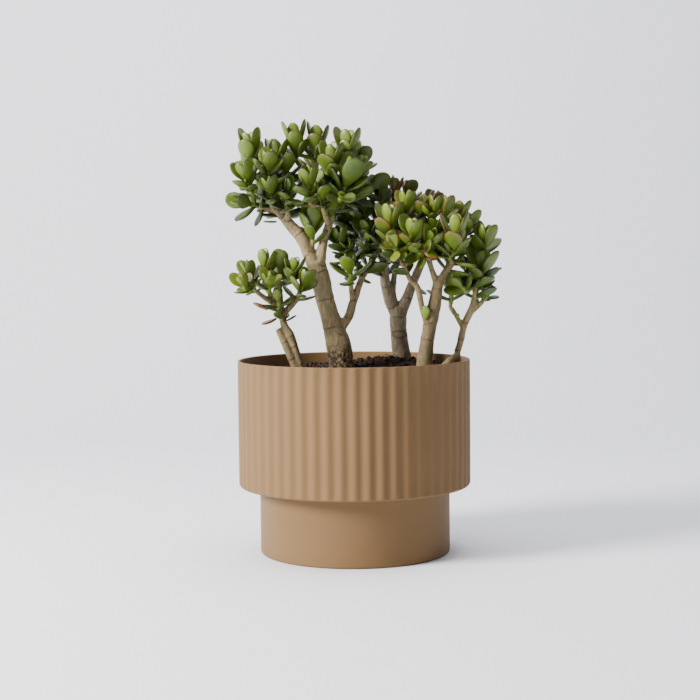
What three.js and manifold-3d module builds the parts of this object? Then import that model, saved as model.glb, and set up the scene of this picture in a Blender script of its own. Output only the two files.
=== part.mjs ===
// A potted minor jade plant: a ribbed drum pot on a plain foot, its soil, five woody stems
// and the leafy sprays on their twigs. Millimetres, +Z up, origin at the middle of the pot's
// base, with -Y as the front.
import * as THREE from 'three';
import { mergeVertices } from 'three/addons/utils/BufferGeometryUtils.js';
import Module from 'manifold-3d';

const wasm = await Module();
wasm.setup();

// The pot
const DRUM_RADIUS = 115;
const DRUM_BOTTOM = 66.7;
const POT_HEIGHT = 191.2;
const FOOT_RADIUS = 94.3;
const RIB_COUNT = 56;
const RIB_DEPTH = 1.4;
const RIB_FACETS = 2;
const DRUM_BEVEL = 3;
const FOOT_BEVEL = 2.5;
const WALL = 2.8;
const ROUND_FACETS = 36;
const INNER_RADIUS = DRUM_RADIUS - WALL;
const FOOT_INNER_RADIUS = FOOT_RADIUS - WALL;

// The soil
const SOIL_LEVEL = 179;
const SOIL_MOUND = 10;
const SOIL_MOUND_PLACE = [42, 42];
const SOIL_MOUND_SPREAD = 48;
const SOIL_WAVE = 1.2;
const LONG_WAVE = [9, 11];
const SHORT_WAVE = [5, 6];
const SOIL_RINGS = 3;
const SOIL_FACETS = 16;
const FIT_GAP = 0.3;
const HOLE_GAP = 0.45;
const BURIED_LENGTH = 26;
const HOLE_SIDES = 8;
const HOLE_REACH = 4;
const SOIL_ENTRY_HEIGHT = 183;

// The twigs and their green tips
const TWIG_BELOW_TIP = 6;
const TWIG_RISE = 12;
const TWIG_ROOT_RADIUS = 3.2;
const TWIG_TIP_RADIUS = 2.1;
const TWIG_SHARE_OF_LIMB = 0.8;
const TWIG_SIDES = 3;
const TIP_SIDES = 4;
const TWIG_PLACES = 24;
const ELBOW_BELOW_TIP = 5;
const FORK_HEIGHT = 3;
const TIP_ROOT_RADIUS = 3;
const TIP_END_RADIUS = 2.4;
const TIP_ABOVE_LAST_PAIR = 2;
const FIRST_PAIR_HEIGHT = 2.8;
const FIRST_INTERNODE = 4.2;
const USUAL_LENGTH = 24;
const INTERNODE_SHRINK = 0.74;

// The leaves
const WIDTH_TO_LENGTH = 0.66;
const LEAF_THICKNESS = 3.2;
const WIDEST_AT = 0.62;
const STALK_SHARE = 0.3;
const INNER_SPREAD = 13;
const SPREAD_POWER = 0.85;
const SIZE_ALONG_SHOOT = [0.84, 0.62, -0.76];
const TURN_VARIES = 9;
const LEAN_VARIES = 6;
const SIZE_VARIES = 0.07;
const INNER_SLIMMING = 0.18;
const LEAF_BEND = 0.42;
const BEND_VARIES = 0.16;
const LEAF_CUP = 0.16;
const CUP_VARIES = 0.08;
const SPARE_ROOM = 0.5;
const ROOT_OFF_AXIS = 1.6;
const BACK_SHARE = 0.55;
const LOW_CORNER = 0.45;
const HIGH_CORNER = 0.83;
const RIDGE_AT = 0.6;
const TOUCHING_VOLUME = 1e-4;

// Each limb is a list of points picked on its centre line, [x, y, z, radius]. A limb whose
// first point is at the soil goes on down into it.
const LIMBS = {
  main_trunk: [[-13, -8, 179, 12.6], [-13, -8, 190, 12.4], [-15, -8, 206, 12.7],
    [-20, -8, 224, 10.4], [-27, -8, 248, 9.2], [-32, -9, 271, 9.7], [-37, -10, 288, 9.6]],
  main_left: [[-36, -10, 282, 7.9], [-45, -12, 301, 6.6], [-51, -13, 313, 6.4],
    [-61, -12, 324, 5.5], [-71, -10, 336, 4.8], [-80, -7, 347, 4.1]],
  main_left_up: [[-69, -11, 333, 4.1], [-78, -12, 352, 3.5], [-84, -14, 364, 2.9]],
  main_left_back: [[-65, -11, 328, 4.1], [-73, 8, 346, 3.4], [-79, 20, 357, 2.8]],
  main_right: [[-34, -10, 284, 6.9], [-30, -12, 301, 4.9], [-27, -13, 313, 4.4],
    [-23, -13, 324, 4.2], [-21, -12, 335, 4.0], [-18, -10, 345, 4.1]],
  main_right_left: [[-20, -12, 339, 3.7], [-30, -6, 356, 3.3], [-39, -2, 368, 2.8]],
  main_right_up: [[-18, -11, 342, 3.7], [-12, -10, 358, 3.3], [-5, -6, 368, 3.0]],
  main_right_back: [[-20, -11, 337, 3.7], [-21, 10, 354, 3.2], [-19, 22, 363, 2.8]],
  main_side: [[-17, -8, 218, 5.9], [-5, -9, 233, 4.5], [0, -8, 248, 4.2], [8, -2, 269, 3.2],
    [15, 6, 281, 3.0], [23, 14, 295, 2.8], [25, 18, 309, 2.6]],
  small_stem: [[-49, -35, 178, 4.4], [-52, -35, 188, 4.1], [-57, -37, 206, 3.5],
    [-61, -40, 218, 3.9], [-67, -40, 228, 3.6], [-69, -38, 242, 3.3]],
  small_stub: [[-53, -35, 178, 4.4], [-57, -35, 188, 4.4], [-66, -37, 210, 4.4],
    [-72, -39, 224, 3.8]],
  middle_trunk: [[50, 50, 182, 9.8], [49, 50, 194, 9.4], [47, 50, 207, 8.8],
    [46, 50, 222, 8.6], [46, 50, 240, 8.8]],
  middle_left: [[44, 50, 235, 7.2], [37, 48, 249, 5.8], [33, 45, 266, 5.3], [32, 42, 283, 4.7],
    [30, 38, 301, 4.1], [26, 32, 319, 3.2]],
  middle_thin: [[43, 50, 240, 4.1], [41, 50, 254, 3.3], [42, 50, 270, 3.1], [46, 52, 301, 2.8],
    [49, 50, 321, 2.6]],
  middle_right: [[48, 50, 235, 7.2], [55, 50, 249, 5.6], [60, 50, 262, 4.9], [71, 45, 290, 4.0],
    [72, 40, 311, 3.0]],
  front_trunk: [[69, -25, 178, 8.4], [69, -25, 188, 8.2], [71, -25, 204, 7.2],
    [74, -25, 224, 6.9], [77, -25, 237, 7.0], [81, -26, 257, 5.6], [83, -27, 268, 5.2]],
  front_right: [[82, -27, 264, 5.0], [90, -27, 277, 3.8], [94, -27, 285, 3.6],
    [97, -27, 294, 3.3]],
  front_left: [[82, -27, 264, 3.9], [75, -29, 283, 2.6], [69, -28, 302, 2.3],
    [68, -22, 314, 2.1]],
  front_side: [[73, -26, 226, 4.4], [67, -32, 241, 3.0], [62, -35, 262, 3.1],
    [54, -37, 272, 2.6], [45, -38, 292, 2.2]],
  edge_stem: [[103, -10, 182, 3.7], [102, -10, 196, 3.3], [105, -9, 207, 3.4],
    [109, -8, 224, 3.5], [116, -8, 239, 3.6], [119, -8, 249, 3.3], [125, -5, 274, 2.5]],
  edge_left: [[108, -8, 221, 2.6], [101, -8, 234, 2.3], [97, -8, 241, 2.1]],
  edge_root: [[84, -30, 180, 4.4], [91, -24, 187, 4.1], [97, -17, 192, 3.8],
    [103, -11, 196, 3.3]],
};

const STEMS = {
  stem_main: { limbs: ['main_trunk', 'main_left', 'main_left_up', 'main_left_back',
    'main_right', 'main_right_left', 'main_right_up', 'main_right_back', 'main_side'],
    colour: '#8f7f68' },
  stem_small: { limbs: ['small_stem', 'small_stub'], colour: '#8a7b68' },
  stem_middle: { limbs: ['middle_trunk', 'middle_left', 'middle_thin', 'middle_right'],
    colour: '#6a5c4b' },
  stem_front: { limbs: ['front_trunk', 'front_right', 'front_left', 'front_side'],
    colour: '#8f7d63' },
  stem_edge: { limbs: ['edge_stem', 'edge_left', 'edge_root'], colour: '#857560' },
};

// Each shoot: name, the limb or the shoot that carries it, where its green tip starts, which
// way it points, pairs of leaves, length of its longest leaf, turn of its first pair round
// the tip and how far that pair leans out, in degrees.
const SHOOTS = [
  ['left_crown_1', 'main_left_up', [-92, -20, 342], [-0.75, -0.45, 0.22], 3, 28, 60, 56],
  ['left_crown_2', 'left_crown_1', [-98, -30, 358], [-0.35, -0.3, 0.85], 3, 26, 60, 46],
  ['left_crown_3', 'main_left_up', [-98, -8, 380], [-0.08, -0.05, 1], 3, 33, 62, 32],
  ['left_crown_10', 'main_left_up', [-78, -30, 346], [-0.15, -0.4, 0.85], 3, 24, 30, 52],
  ['left_crown_4', 'left_crown_10', [-81, -26, 367], [0, -0.15, 1], 3, 27, 20, 44],
  ['left_crown_5', 'main_left_up', [-75, -4, 375], [0, 0, 1], 3, 28, 70, 38],
  ['left_crown_6', 'main_left_back', [-96, 22, 370], [-0.4, 0.4, 0.85], 3, 29, 30, 52],
  ['left_crown_7', 'main_left_back', [-80, 32, 375], [0.05, 0.4, 0.9], 3, 29, 0, 50],
  ['left_crown_8', 'main_left_back', [-84, 26, 349], [-0.5, 0.75, 0.35], 3, 27, 40, 58],
  ['left_crown_11', 'main_left', [-63, -26, 345], [0.1, -0.35, 0.9], 3, 24, 70, 52],
  ['left_crown_12', 'left_crown_11', [-66, -10, 366], [0.05, 0, 1], 3, 25, 20, 44],
  ['right_crown_1', 'main_right_left', [-55, 2, 391], [-0.1, 0.05, 1], 3, 30, 90, 38],
  ['right_crown_2', 'right_crown_1', [-36, 8, 389], [0.08, 0.05, 1], 3, 30, 80, 36],
  ['right_crown_3', 'main_right_left', [-40, -34, 348], [-0.15, -0.38, 0.9], 3, 32, 60, 48],
  ['right_crown_15', 'right_crown_3', [-52, -26, 342], [-0.6, -0.3, 0.5], 2, 25, 60, 56],
  ['right_crown_14', 'main_right', [-28, -30, 342], [-0.1, -0.45, 0.85], 3, 24, 20, 52],
  ['right_crown_4', 'right_crown_14', [-20, -22, 369], [0, -0.1, 1], 3, 31, 60, 38],
  ['right_crown_5', 'main_right', [-10, -28, 351], [0.3, -0.2, 1], 3, 36, 20, 44],
  ['right_crown_12', 'right_crown_5', [-12, -40, 346], [0.1, -0.8, 0.3], 2, 17, 0, 66],
  ['right_crown_16', 'main_right_up', [-2, -8, 349], [0.8, -0.15, 0.45], 2, 27, 15, 54],
  ['right_crown_6', 'right_crown_16', [-2, -14, 364], [0.42, -0.12, 0.9], 3, 27, 50, 48],
  ['right_crown_7', 'main_right_up', [-5, -8, 382], [0, -0.05, 1], 3, 31, 60, 40],
  ['right_crown_8', 'main_right_up', [5, 4, 373], [0.3, 0.05, 0.95], 3, 27, 20, 46],
  ['right_crown_9', 'main_right_back', [-36, 32, 373], [-0.1, 0.4, 0.9], 3, 29, 10, 50],
  ['right_crown_10', 'main_right_back', [-11, 34, 377], [0.2, 0.45, 0.9], 3, 29, 50, 50],
  ['right_crown_11', 'main_right_back', [-26, 28, 350], [-0.1, 0.85, 0.35], 3, 26, 20, 58],
  ['right_crown_13', 'main_right_up', [8, 14, 357], [0.7, 0.35, 0.45], 3, 26, 40, 58],
  ['fork_shoot', 'main_left', [-39, -15, 311], [0.02, -0.12, 1], 3, 30, 30, 34],
  ['side_branch_1', 'main_side', [-2, -12, 265], [-0.04, -0.15, 1], 4, 27, 80, 84],
  ['side_branch_2', 'main_side', [4, -4, 287], [-0.45, -0.3, 0.8], 3, 26, 20, 56],
  ['side_branch_7', 'side_branch_2', [-10, -6, 296], [-0.3, -0.2, 0.9], 3, 24, 60, 50],
  ['side_branch_3', 'main_side', [18, 8, 302], [-0.2, -0.35, 0.9], 3, 29, 70, 54],
  ['side_branch_8', 'side_branch_3', [28, -4, 301], [0.2, -0.4, 0.85], 3, 26, 30, 54],
  ['side_branch_9', 'side_branch_2', [13, -2, 295], [0.1, -0.35, 0.9], 3, 26, 60, 54],
  ['side_branch_4', 'main_side', [3, 26, 316], [-0.35, 0.1, 0.95], 3, 29, 20, 50],
  ['side_branch_6', 'side_branch_4', [-8, 30, 325], [-0.4, 0.15, 0.9], 3, 28, 50, 50],
  ['side_branch_5', 'main_side', [13, 14, 326], [-0.2, -0.15, 1], 3, 28, 50, 48],
  ['middle_10', 'middle_left', [24, 24, 317], [-0.1, -0.3, 0.95], 3, 27, 60, 52],
  ['middle_1', 'middle_10', [29, 26, 340], [-0.05, -0.1, 1], 3, 27, 45, 48],
  ['middle_2', 'middle_left', [41, 36, 343], [0.08, -0.02, 1], 3, 26, 80, 44],
  ['middle_3', 'middle_2', [55, 42, 343], [0.15, -0.02, 1], 3, 24, 20, 48],
  ['middle_4', 'middle_left', [14, 46, 305], [-0.5, 0.2, 0.75], 3, 28, 30, 58],
  ['middle_8', 'middle_4', [1, 36, 293], [-0.6, -0.1, 0.6], 2, 26, 60, 58],
  ['middle_5', 'middle_thin', [41, 70, 326], [-0.05, 0.55, 0.8], 3, 28, 0, 56],
  ['middle_6', 'middle_right', [65, 64, 321], [0.25, 0.5, 0.85], 3, 27, 40, 56],
  ['middle_7', 'middle_right', [78, 36, 331], [0.25, 0.05, 1], 3, 25, 30, 50],
  ['front_1', 'front_14', [37, -32, 309], [-0.05, -0.15, 1], 3, 32, 55, 42],
  ['front_14', 'front_side', [44, -40, 297], [-0.1, -0.4, 0.8], 2, 24, 50, 60],
  ['front_2', 'front_side', [56, -46, 300], [0.02, -0.3, 1], 3, 27, 45, 48],
  ['front_12', 'front_2', [43, -50, 297], [-0.35, -0.5, 0.35], 2, 22, 90, 64],
  ['front_3', 'front_left', [53, -20, 328], [-0.05, -0.1, 1], 3, 25, 40, 44],
  ['front_4', 'front_left', [67, -14, 327], [0.05, 0, 1], 3, 25, 75, 42],
  ['front_5', 'front_4', [77, -20, 325], [0.08, -0.05, 1], 3, 23, 40, 46],
  ['front_10', 'front_left', [74, -38, 295], [0.05, -0.5, 0.75], 3, 25, 50, 56],
  ['front_13', 'front_10', [67, -46, 293], [-0.45, -0.5, 0.35], 2, 23, 10, 60],
  ['front_6', 'front_15', [88, -16, 321], [0, -0.05, 1], 3, 26, 30, 44],
  ['front_15', 'front_right', [82, -22, 307], [-0.2, -0.25, 0.9], 3, 23, 70, 50],
  ['front_7', 'front_right', [102, -6, 317], [0.12, 0, 1], 3, 26, 60, 44],
  ['front_8', 'front_right', [110, -4, 309], [0.24, 0.05, 0.95], 3, 27, 60, 44],
  ['front_9', 'front_16', [98, -42, 296], [0.02, -0.2, 1], 3, 33, 75, 42],
  ['front_16', 'front_right', [94, -36, 289], [-0.3, -0.35, 0.8], 2, 23, 20, 58],
  ['front_11', 'front_right', [97, 18, 304], [0.3, 0.65, 0.65], 3, 26, 30, 58],
  ['edge_1', 'edge_stem', [127, -6, 290], [0.1, -0.06, 1], 3, 31, 40, 46],
  ['edge_2', 'edge_stem', [121, -14, 264], [0.2, -0.2, 1], 3, 33, 60, 50],
  ['edge_6', 'edge_2', [111, -22, 257], [-0.5, -0.4, 0.5], 2, 26, 0, 54],
  ['edge_3', 'edge_stem', [119, 14, 271], [0.1, 0.6, 0.75], 3, 27, 50, 58],
  ['edge_4', 'edge_left', [96, -9, 246], [0.05, -0.05, 1], 3, 30, 10, 74],
  ['edge_5', 'edge_stem', [128, -10, 249], [0.55, -0.15, 0.75], 2, 17, 10, 50],
  ['small_1', 'small_stem', [-95, -44, 265], [-0.32, -0.2, 0.9], 3, 24, 30, 50],
  ['small_7', 'small_1', [-99, -58, 259], [-0.4, -0.5, 0.75], 3, 20, 60, 50],
  ['small_2', 'small_stem', [-85, -40, 270], [-0.04, -0.12, 1], 3, 27, 70, 42],
  ['small_9', 'small_2', [-80, -56, 260], [-0.05, -0.5, 0.85], 3, 20, 30, 50],
  ['small_3', 'small_stem', [-71, -34, 271], [0.02, -0.02, 1], 3, 26, 15, 44],
  ['small_8', 'small_3', [-60, -40, 268], [0.2, -0.2, 0.95], 3, 23, 70, 44],
  ['small_4', 'small_stem', [-52, -46, 257], [0.3, -0.22, 0.9], 3, 24, 40, 50],
  ['small_5', 'small_stem', [-75, -14, 265], [-0.05, 0.65, 0.72], 3, 24, 30, 58],
  ['small_6', 'small_stem', [-71, -46, 243], [-0.1, -0.3, 0.9], 2, 22, 10, 84],
];
const LEAF_COLOUR = '#5f7f34';

const degrees = THREE.MathUtils.degToRad;
const vector = (p) => new THREE.Vector3(p[0], p[1], p[2]);

function solidFrom(geometry) {
  const bare = geometry.index ? geometry.toNonIndexed() : geometry.clone();
  bare.deleteAttribute('normal');
  bare.deleteAttribute('uv');
  const merged = mergeVertices(bare, 1e-5);
  return new wasm.Manifold(new wasm.Mesh({
    numProp: 3,
    vertProperties: new Float32Array(merged.attributes.position.array),
    triVerts: new Uint32Array(merged.index.array),
  }));
}

// Joins pieces in one body. Hollows that the join seals are filled and loose scraps dropped.
function fused(pieces) {
  const bodies = wasm.Manifold.union(pieces).decompose();
  return bodies.reduce((best, body) => (body.volume() > best.volume() ? body : best));
}

function geometryFrom(solid) {
  const mesh = solid.getMesh();
  const geometry = new THREE.BufferGeometry();
  geometry.setAttribute('position', new THREE.BufferAttribute(mesh.vertProperties, 3));
  geometry.setIndex(new THREE.BufferAttribute(mesh.triVerts, 1));
  geometry.computeVertexNormals();
  return geometry;
}

function solidFromFaces(points, faces) {
  const geometry = new THREE.BufferGeometry();
  geometry.setAttribute('position', new THREE.Float32BufferAttribute(points.flat(), 3));
  geometry.setIndex(faces.flat());
  return solidFrom(geometry);
}

// The lathe turns round Y, so its solid is stood up on Z.
function turned(profile, facets, reshape = () => {}) {
  const geometry = new THREE.LatheGeometry(
    profile.map(([radius, height]) => new THREE.Vector2(radius, height)), facets);
  geometry.rotateX(Math.PI / 2);
  reshape(geometry.attributes.position);
  return solidFrom(geometry);
}

// The ribs are a cosine round the drum, which dies out at the bevel under it.
function raiseRibs(position) {
  for (let i = 0; i < position.count; i += 1) {
    const x = position.getX(i);
    const y = position.getY(i);
    const radius = Math.hypot(x, y);
    if (radius < DRUM_RADIUS - 0.01) continue;
    const turn = Math.atan2(y, x);
    const scale = 1 - RIB_DEPTH * (0.5 - 0.5 * Math.cos(RIB_COUNT * turn)) / radius;
    position.setXY(i, x * scale, y * scale);
  }
}

function makePot() {
  const drum = turned([
    [0, DRUM_BOTTOM], [DRUM_RADIUS - DRUM_BEVEL, DRUM_BOTTOM],
    [DRUM_RADIUS, DRUM_BOTTOM + DRUM_BEVEL], [DRUM_RADIUS, POT_HEIGHT], [0, POT_HEIGHT],
  ], RIB_COUNT * RIB_FACETS, raiseRibs);
  const foot = turned([
    [0, 0], [FOOT_RADIUS - FOOT_BEVEL, 0], [FOOT_RADIUS, FOOT_BEVEL],
    [FOOT_RADIUS, DRUM_BOTTOM + WALL / 2], [0, DRUM_BOTTOM + WALL / 2],
  ], ROUND_FACETS);
  const inside = turned([
    [0, WALL], [FOOT_INNER_RADIUS, WALL], [FOOT_INNER_RADIUS, DRUM_BOTTOM + WALL],
    [INNER_RADIUS, DRUM_BOTTOM + WALL], [INNER_RADIUS, POT_HEIGHT + 1], [0, POT_HEIGHT + 1],
  ], ROUND_FACETS);
  return drum.add(foot).subtract(inside);
}

function soilHeight(x, y) {
  const away = Math.hypot(x - SOIL_MOUND_PLACE[0], y - SOIL_MOUND_PLACE[1]);
  const mound = SOIL_MOUND * Math.exp(-((away / SOIL_MOUND_SPREAD) ** 2));
  const wave = Math.sin(x / LONG_WAVE[0] + 1) * Math.cos(y / LONG_WAVE[1])
    + 0.5 * Math.sin(x / SHORT_WAVE[0] + y / SHORT_WAVE[1]);
  return SOIL_LEVEL + mound + SOIL_WAVE * wave;
}

function makeSoil(holes) {
  const reach = INNER_RADIUS * Math.cos(Math.PI / ROUND_FACETS) - FIT_GAP;
  const footReach = FOOT_INNER_RADIUS * Math.cos(Math.PI / ROUND_FACETS) - FIT_GAP;
  const shoulder = DRUM_BOTTOM + WALL + FIT_GAP;
  const profile = [[0, WALL + FIT_GAP], [footReach, WALL + FIT_GAP], [footReach, shoulder],
    [reach, shoulder]];
  for (let ring = SOIL_RINGS; ring >= 0; ring -= 1) {
    profile.push([reach * ring / SOIL_RINGS, SOIL_LEVEL]);
  }
  let soil = turned(profile, SOIL_FACETS, (position) => {
    for (let i = 0; i < position.count; i += 1) {
      if (position.getZ(i) < SOIL_LEVEL - 0.1) continue;
      position.setZ(i, soilHeight(position.getX(i), position.getY(i)));
    }
  });
  for (const hole of holes) soil = soil.subtract(hole);
  return soil;
}

// A tapered branch with flat ends through points [x, y, z, radius]. Its first corner is
// turned from +X by some degrees.
function branch(points, sides, firstTurn = 0) {
  const centres = points.map(vector);
  const corners = [];
  const faces = [];
  let across = new THREE.Vector3(1, 0, 0);
  centres.forEach((centre, ring) => {
    const before = centres[Math.max(ring - 1, 0)];
    const after = centres[Math.min(ring + 1, centres.length - 1)];
    const along = after.clone().sub(before).normalize();
    across = across.clone().addScaledVector(along, -across.dot(along)).normalize();
    const beside = along.clone().cross(across);
    for (let side = 0; side < sides; side += 1) {
      const turn = degrees(firstTurn + 360 * side / sides);
      const corner = centre.clone()
        .addScaledVector(across, points[ring][3] * Math.cos(turn))
        .addScaledVector(beside, points[ring][3] * Math.sin(turn));
      corners.push(corner.toArray());
      const next = (side + 1) % sides;
      const low = (ring - 1) * sides;
      const high = ring * sides;
      if (ring > 0) {
        faces.push([low + side, low + next, high + next], [low + side, high + next, high + side]);
      }
    }
  });
  const last = (centres.length - 1) * sides;
  for (let side = 1; side < sides - 1; side += 1) {
    faces.push([0, side + 1, side], [last, last + side, last + side + 1]);
  }
  return solidFromFaces(corners, faces);
}

function limbSides(points) {
  const widest = Math.max(...points.map((point) => point[3]));
  if (widest > 8) return 8;
  return widest > 4 ? 6 : 5;
}

// A limb's centre line for finding where a twig leaves it.
function limbCurve(name) {
  return new THREE.CatmullRomCurve3(LIMBS[name].map(vector), false, 'catmullrom', 0.5);
}

function radiusOnLimb(name, share) {
  const points = LIMBS[name];
  const place = share * (points.length - 1);
  const before = Math.min(Math.floor(place), points.length - 2);
  return THREE.MathUtils.lerp(points[before][3], points[before + 1][3], place - before);
}

function extended(from, to, length) {
  const along = vector(to).sub(vector(from)).normalize();
  const end = vector(to).addScaledVector(along, length);
  return [...end.toArray(), to[3]];
}

// The part of a limb that is in the soil, and the hole that it stands in.
function buried(points) {
  return [extended(points[1], points[0], BURIED_LENGTH), ...points];
}

function soilHole(points) {
  const wider = (point) => [point[0], point[1], point[2],
    (Math.max(points[0][3], points[1][3]) + HOLE_GAP) / Math.cos(Math.PI / HOLE_SIDES)];
  const low = extended(points[1], points[0], BURIED_LENGTH + FIT_GAP);
  return branch([wider(low), wider(extended(points[0], points[1], HOLE_REACH))], HOLE_SIDES);
}

const shoots = SHOOTS.map(([name, carrier, place, pointing, pairs, length, turn, lean], index) => ({
  name, carrier, pairs, length, turn, lean, index,
  base: vector(place),
  axis: vector(pointing).normalize(),
}));
const shootNamed = Object.fromEntries(shoots.map((shoot) => [shoot.name, shoot]));

// A twig leaves its limb at the nearest of some places on it, and turns at an elbow into its
// shoot. A shoot carried by another shoot's green tip has a straight green twig.
function twigPoints(shoot) {
  const host = shootNamed[shoot.carrier];
  const foot = [...shoot.base.toArray(), TWIG_TIP_RADIUS];
  if (host) {
    const fork = host.base.clone().addScaledVector(host.axis, FORK_HEIGHT);
    return [[...fork.toArray(), TWIG_TIP_RADIUS], foot];
  }
  const below = shoot.base.clone().addScaledVector(shoot.axis, -TWIG_BELOW_TIP);
  below.z -= TWIG_RISE;
  const curve = limbCurve(shoot.carrier);
  let nearest = 0;
  let least = Infinity;
  for (let place = 0; place <= TWIG_PLACES; place += 1) {
    const distance = curve.getPoint(place / TWIG_PLACES).distanceTo(below);
    if (distance < least) [least, nearest] = [distance, place / TWIG_PLACES];
  }
  const thick = Math.min(radiusOnLimb(shoot.carrier, nearest) * TWIG_SHARE_OF_LIMB,
    TWIG_ROOT_RADIUS);
  const elbow = shoot.base.clone().addScaledVector(shoot.axis, -ELBOW_BELOW_TIP);
  return [[...curve.getPoint(nearest).toArray(), thick],
    [...elbow.toArray(), (thick + TWIG_TIP_RADIUS) / 2], foot];
}

// Heights of a shoot's pairs above the start of its green tip.
function pairHeights(shoot) {
  const heights = [];
  let height = FIRST_PAIR_HEIGHT;
  let internode = FIRST_INTERNODE * shoot.length / USUAL_LENGTH;
  for (let pair = 0; pair < shoot.pairs; pair += 1) {
    heights.push(height);
    height += internode;
    internode *= INTERNODE_SHRINK;
  }
  return heights;
}

// Each leaf leaves the green tip through the middle of one of its flat sides.
function greenTip(shoot) {
  const top = pairHeights(shoot).at(-1) + TIP_ABOVE_LAST_PAIR;
  const at = (height, radius) => [
    ...shoot.base.clone().addScaledVector(shoot.axis, height).toArray(), radius];
  return branch([at(FIT_GAP, TIP_ROOT_RADIUS), at(top, TIP_END_RADIUS)], TIP_SIDES,
    shoot.turn + 180 / TIP_SIDES);
}

// Half the leaf's width at a share of its length: a narrow stalk that widens to a spoon with
// a round end.
function halfWidth(share) {
  if (share > WIDEST_AT) {
    return Math.sqrt(Math.max(0, 1 - ((share - WIDEST_AT) / (1 - WIDEST_AT)) ** 2));
  }
  const rise = Math.sin(0.5 * Math.PI * Math.max(share, 0) / WIDEST_AT) ** 2;
  return STALK_SHARE + (1 - STALK_SHARE) * rise;
}

// A leaf is six points round its edge and one on its keeled back. Its upper face is flat from
// edge to edge and follows the bend.
function leafSolid(leaf, extra) {
  const lean = degrees(leaf.lean) + leaf.bend / 2;
  const forward = leaf.axis.clone().multiplyScalar(Math.cos(lean))
    .addScaledVector(leaf.outward, Math.sin(lean));
  const inward = leaf.axis.clone().multiplyScalar(Math.sin(lean))
    .addScaledVector(leaf.outward, -Math.cos(lean));
  const beside = leaf.axis.clone().cross(leaf.outward);
  const length = leaf.length + extra;
  const half = leaf.length * leaf.slim * WIDTH_TO_LENGTH / 2 + extra;
  const at = (share, side, lift) => leaf.root.clone()
    .addScaledVector(forward, share * length)
    .addScaledVector(beside, side * half * halfWidth(share))
    .addScaledVector(inward, 0.5 * leaf.bend * share * share * length
      + leaf.cup * Math.abs(side) * half * halfWidth(share) + lift)
    .toArray();
  const points = [at(ROOT_OFF_AXIS / length, 0, 0), at(LOW_CORNER, 1, 0), at(HIGH_CORNER, 1, 0),
    at(1, 0, 0), at(HIGH_CORNER, -1, 0), at(LOW_CORNER, -1, 0),
    at(RIDGE_AT, 0, -BACK_SHARE * LEAF_THICKNESS - extra)];
  const faces = [[0, 5, 1], [1, 5, 2], [2, 5, 4], [2, 4, 3]];
  for (let corner = 0; corner < 6; corner += 1) {
    faces.push([corner, (corner + 1) % 6, 6]);
  }
  return solidFromFaces(points, faces);
}

// A small repeatable source of draws between -1 and 1.
function drawsFrom(seed) {
  let state = seed * 2654435 + 12345;
  return () => {
    state = (state * 1664525 + 1013904223) % 4294967296;
    return state / 2147483648 - 1;
  };
}

// Changes tried in turn, [turn, lean, size], for a leaf that would cross another spray.
const BENDS = [[0, 0, 1], [14, 0, 1], [-14, 0, 1], [0, -12, 1], [12, -10, 1], [-12, -10, 1],
  [27, 0, 0.95], [-27, 0, 0.95], [0, -22, 0.9], [0, 10, 0.9], [0, 0, 0.8], [20, -12, 0.8],
  [-20, -12, 0.8], [0, -20, 0.7], [30, -20, 0.7], [-30, -20, 0.7]];

function leavesOf(shoot) {
  const draw = drawsFrom(shoot.index + 1);
  const right = new THREE.Vector3(1, 0, 0);
  right.addScaledVector(shoot.axis, -right.dot(shoot.axis)).normalize();
  const back = shoot.axis.clone().cross(right);
  const leaves = [];
  pairHeights(shoot).forEach((height, pair) => {
    const share = shoot.pairs > 1 ? pair / (shoot.pairs - 1) : 0;
    const lean = shoot.lean + (INNER_SPREAD - shoot.lean) * share ** SPREAD_POWER;
    const size = SIZE_ALONG_SHOOT[0] + SIZE_ALONG_SHOOT[1] * share
      + SIZE_ALONG_SHOOT[2] * share * share;
    for (const side of [0, 180]) {
      const leaf = { shoot, axis: shoot.axis,
        root: shoot.base.clone().addScaledVector(shoot.axis, height),
        turn: shoot.turn + 90 * pair + side + TURN_VARIES * draw(),
        lean: lean + LEAN_VARIES * draw(),
        length: shoot.length * size * (1 + SIZE_VARIES * draw()),
        slim: 1 - INNER_SLIMMING * share + SIZE_VARIES * draw(),
        bend: LEAF_BEND + BEND_VARIES * draw(),
        cup: LEAF_CUP + CUP_VARIES * draw() };
      leaf.tries = BENDS.map(([turn, tilt, scale]) => {
        const angle = degrees(leaf.turn + turn);
        return { ...leaf, lean: leaf.lean + tilt, length: leaf.length * scale,
          outward: right.clone().multiplyScalar(Math.cos(angle))
            .addScaledVector(back, Math.sin(angle)) };
      });
      leaves.push(leaf);
    }
  });
  return leaves;
}

function boxOf(solid) {
  const { min, max } = solid.boundingBox();
  return new THREE.Box3(vector(min), vector(max));
}

function crosses(solid, others) {
  const box = boxOf(solid);
  return others.some((other) => box.intersectsBox(other.box)
    && solid.intersect(other.solid).volume() > TOUCHING_VOLUME);
}

// The woody stems, each one body with its twigs
const stemSolids = {};
const holes = [];
const obstacles = [];
for (const [stem, { limbs }] of Object.entries(STEMS)) {
  const pieces = [];
  for (const limb of limbs) {
    const points = LIMBS[limb];
    const inSoil = points[0][2] < SOIL_ENTRY_HEIGHT;
    pieces.push(branch(inSoil ? buried(points) : points, limbSides(points)));
    if (inSoil) holes.push(soilHole(points));
  }
  for (const shoot of shoots) {
    if (limbs.includes(shoot.carrier)) pieces.push(branch(twigPoints(shoot), TWIG_SIDES));
  }
  for (const solid of pieces) obstacles.push({ solid, box: boxOf(solid), owner: stem });
  stemSolids[stem] = fused(pieces);
}

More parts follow.
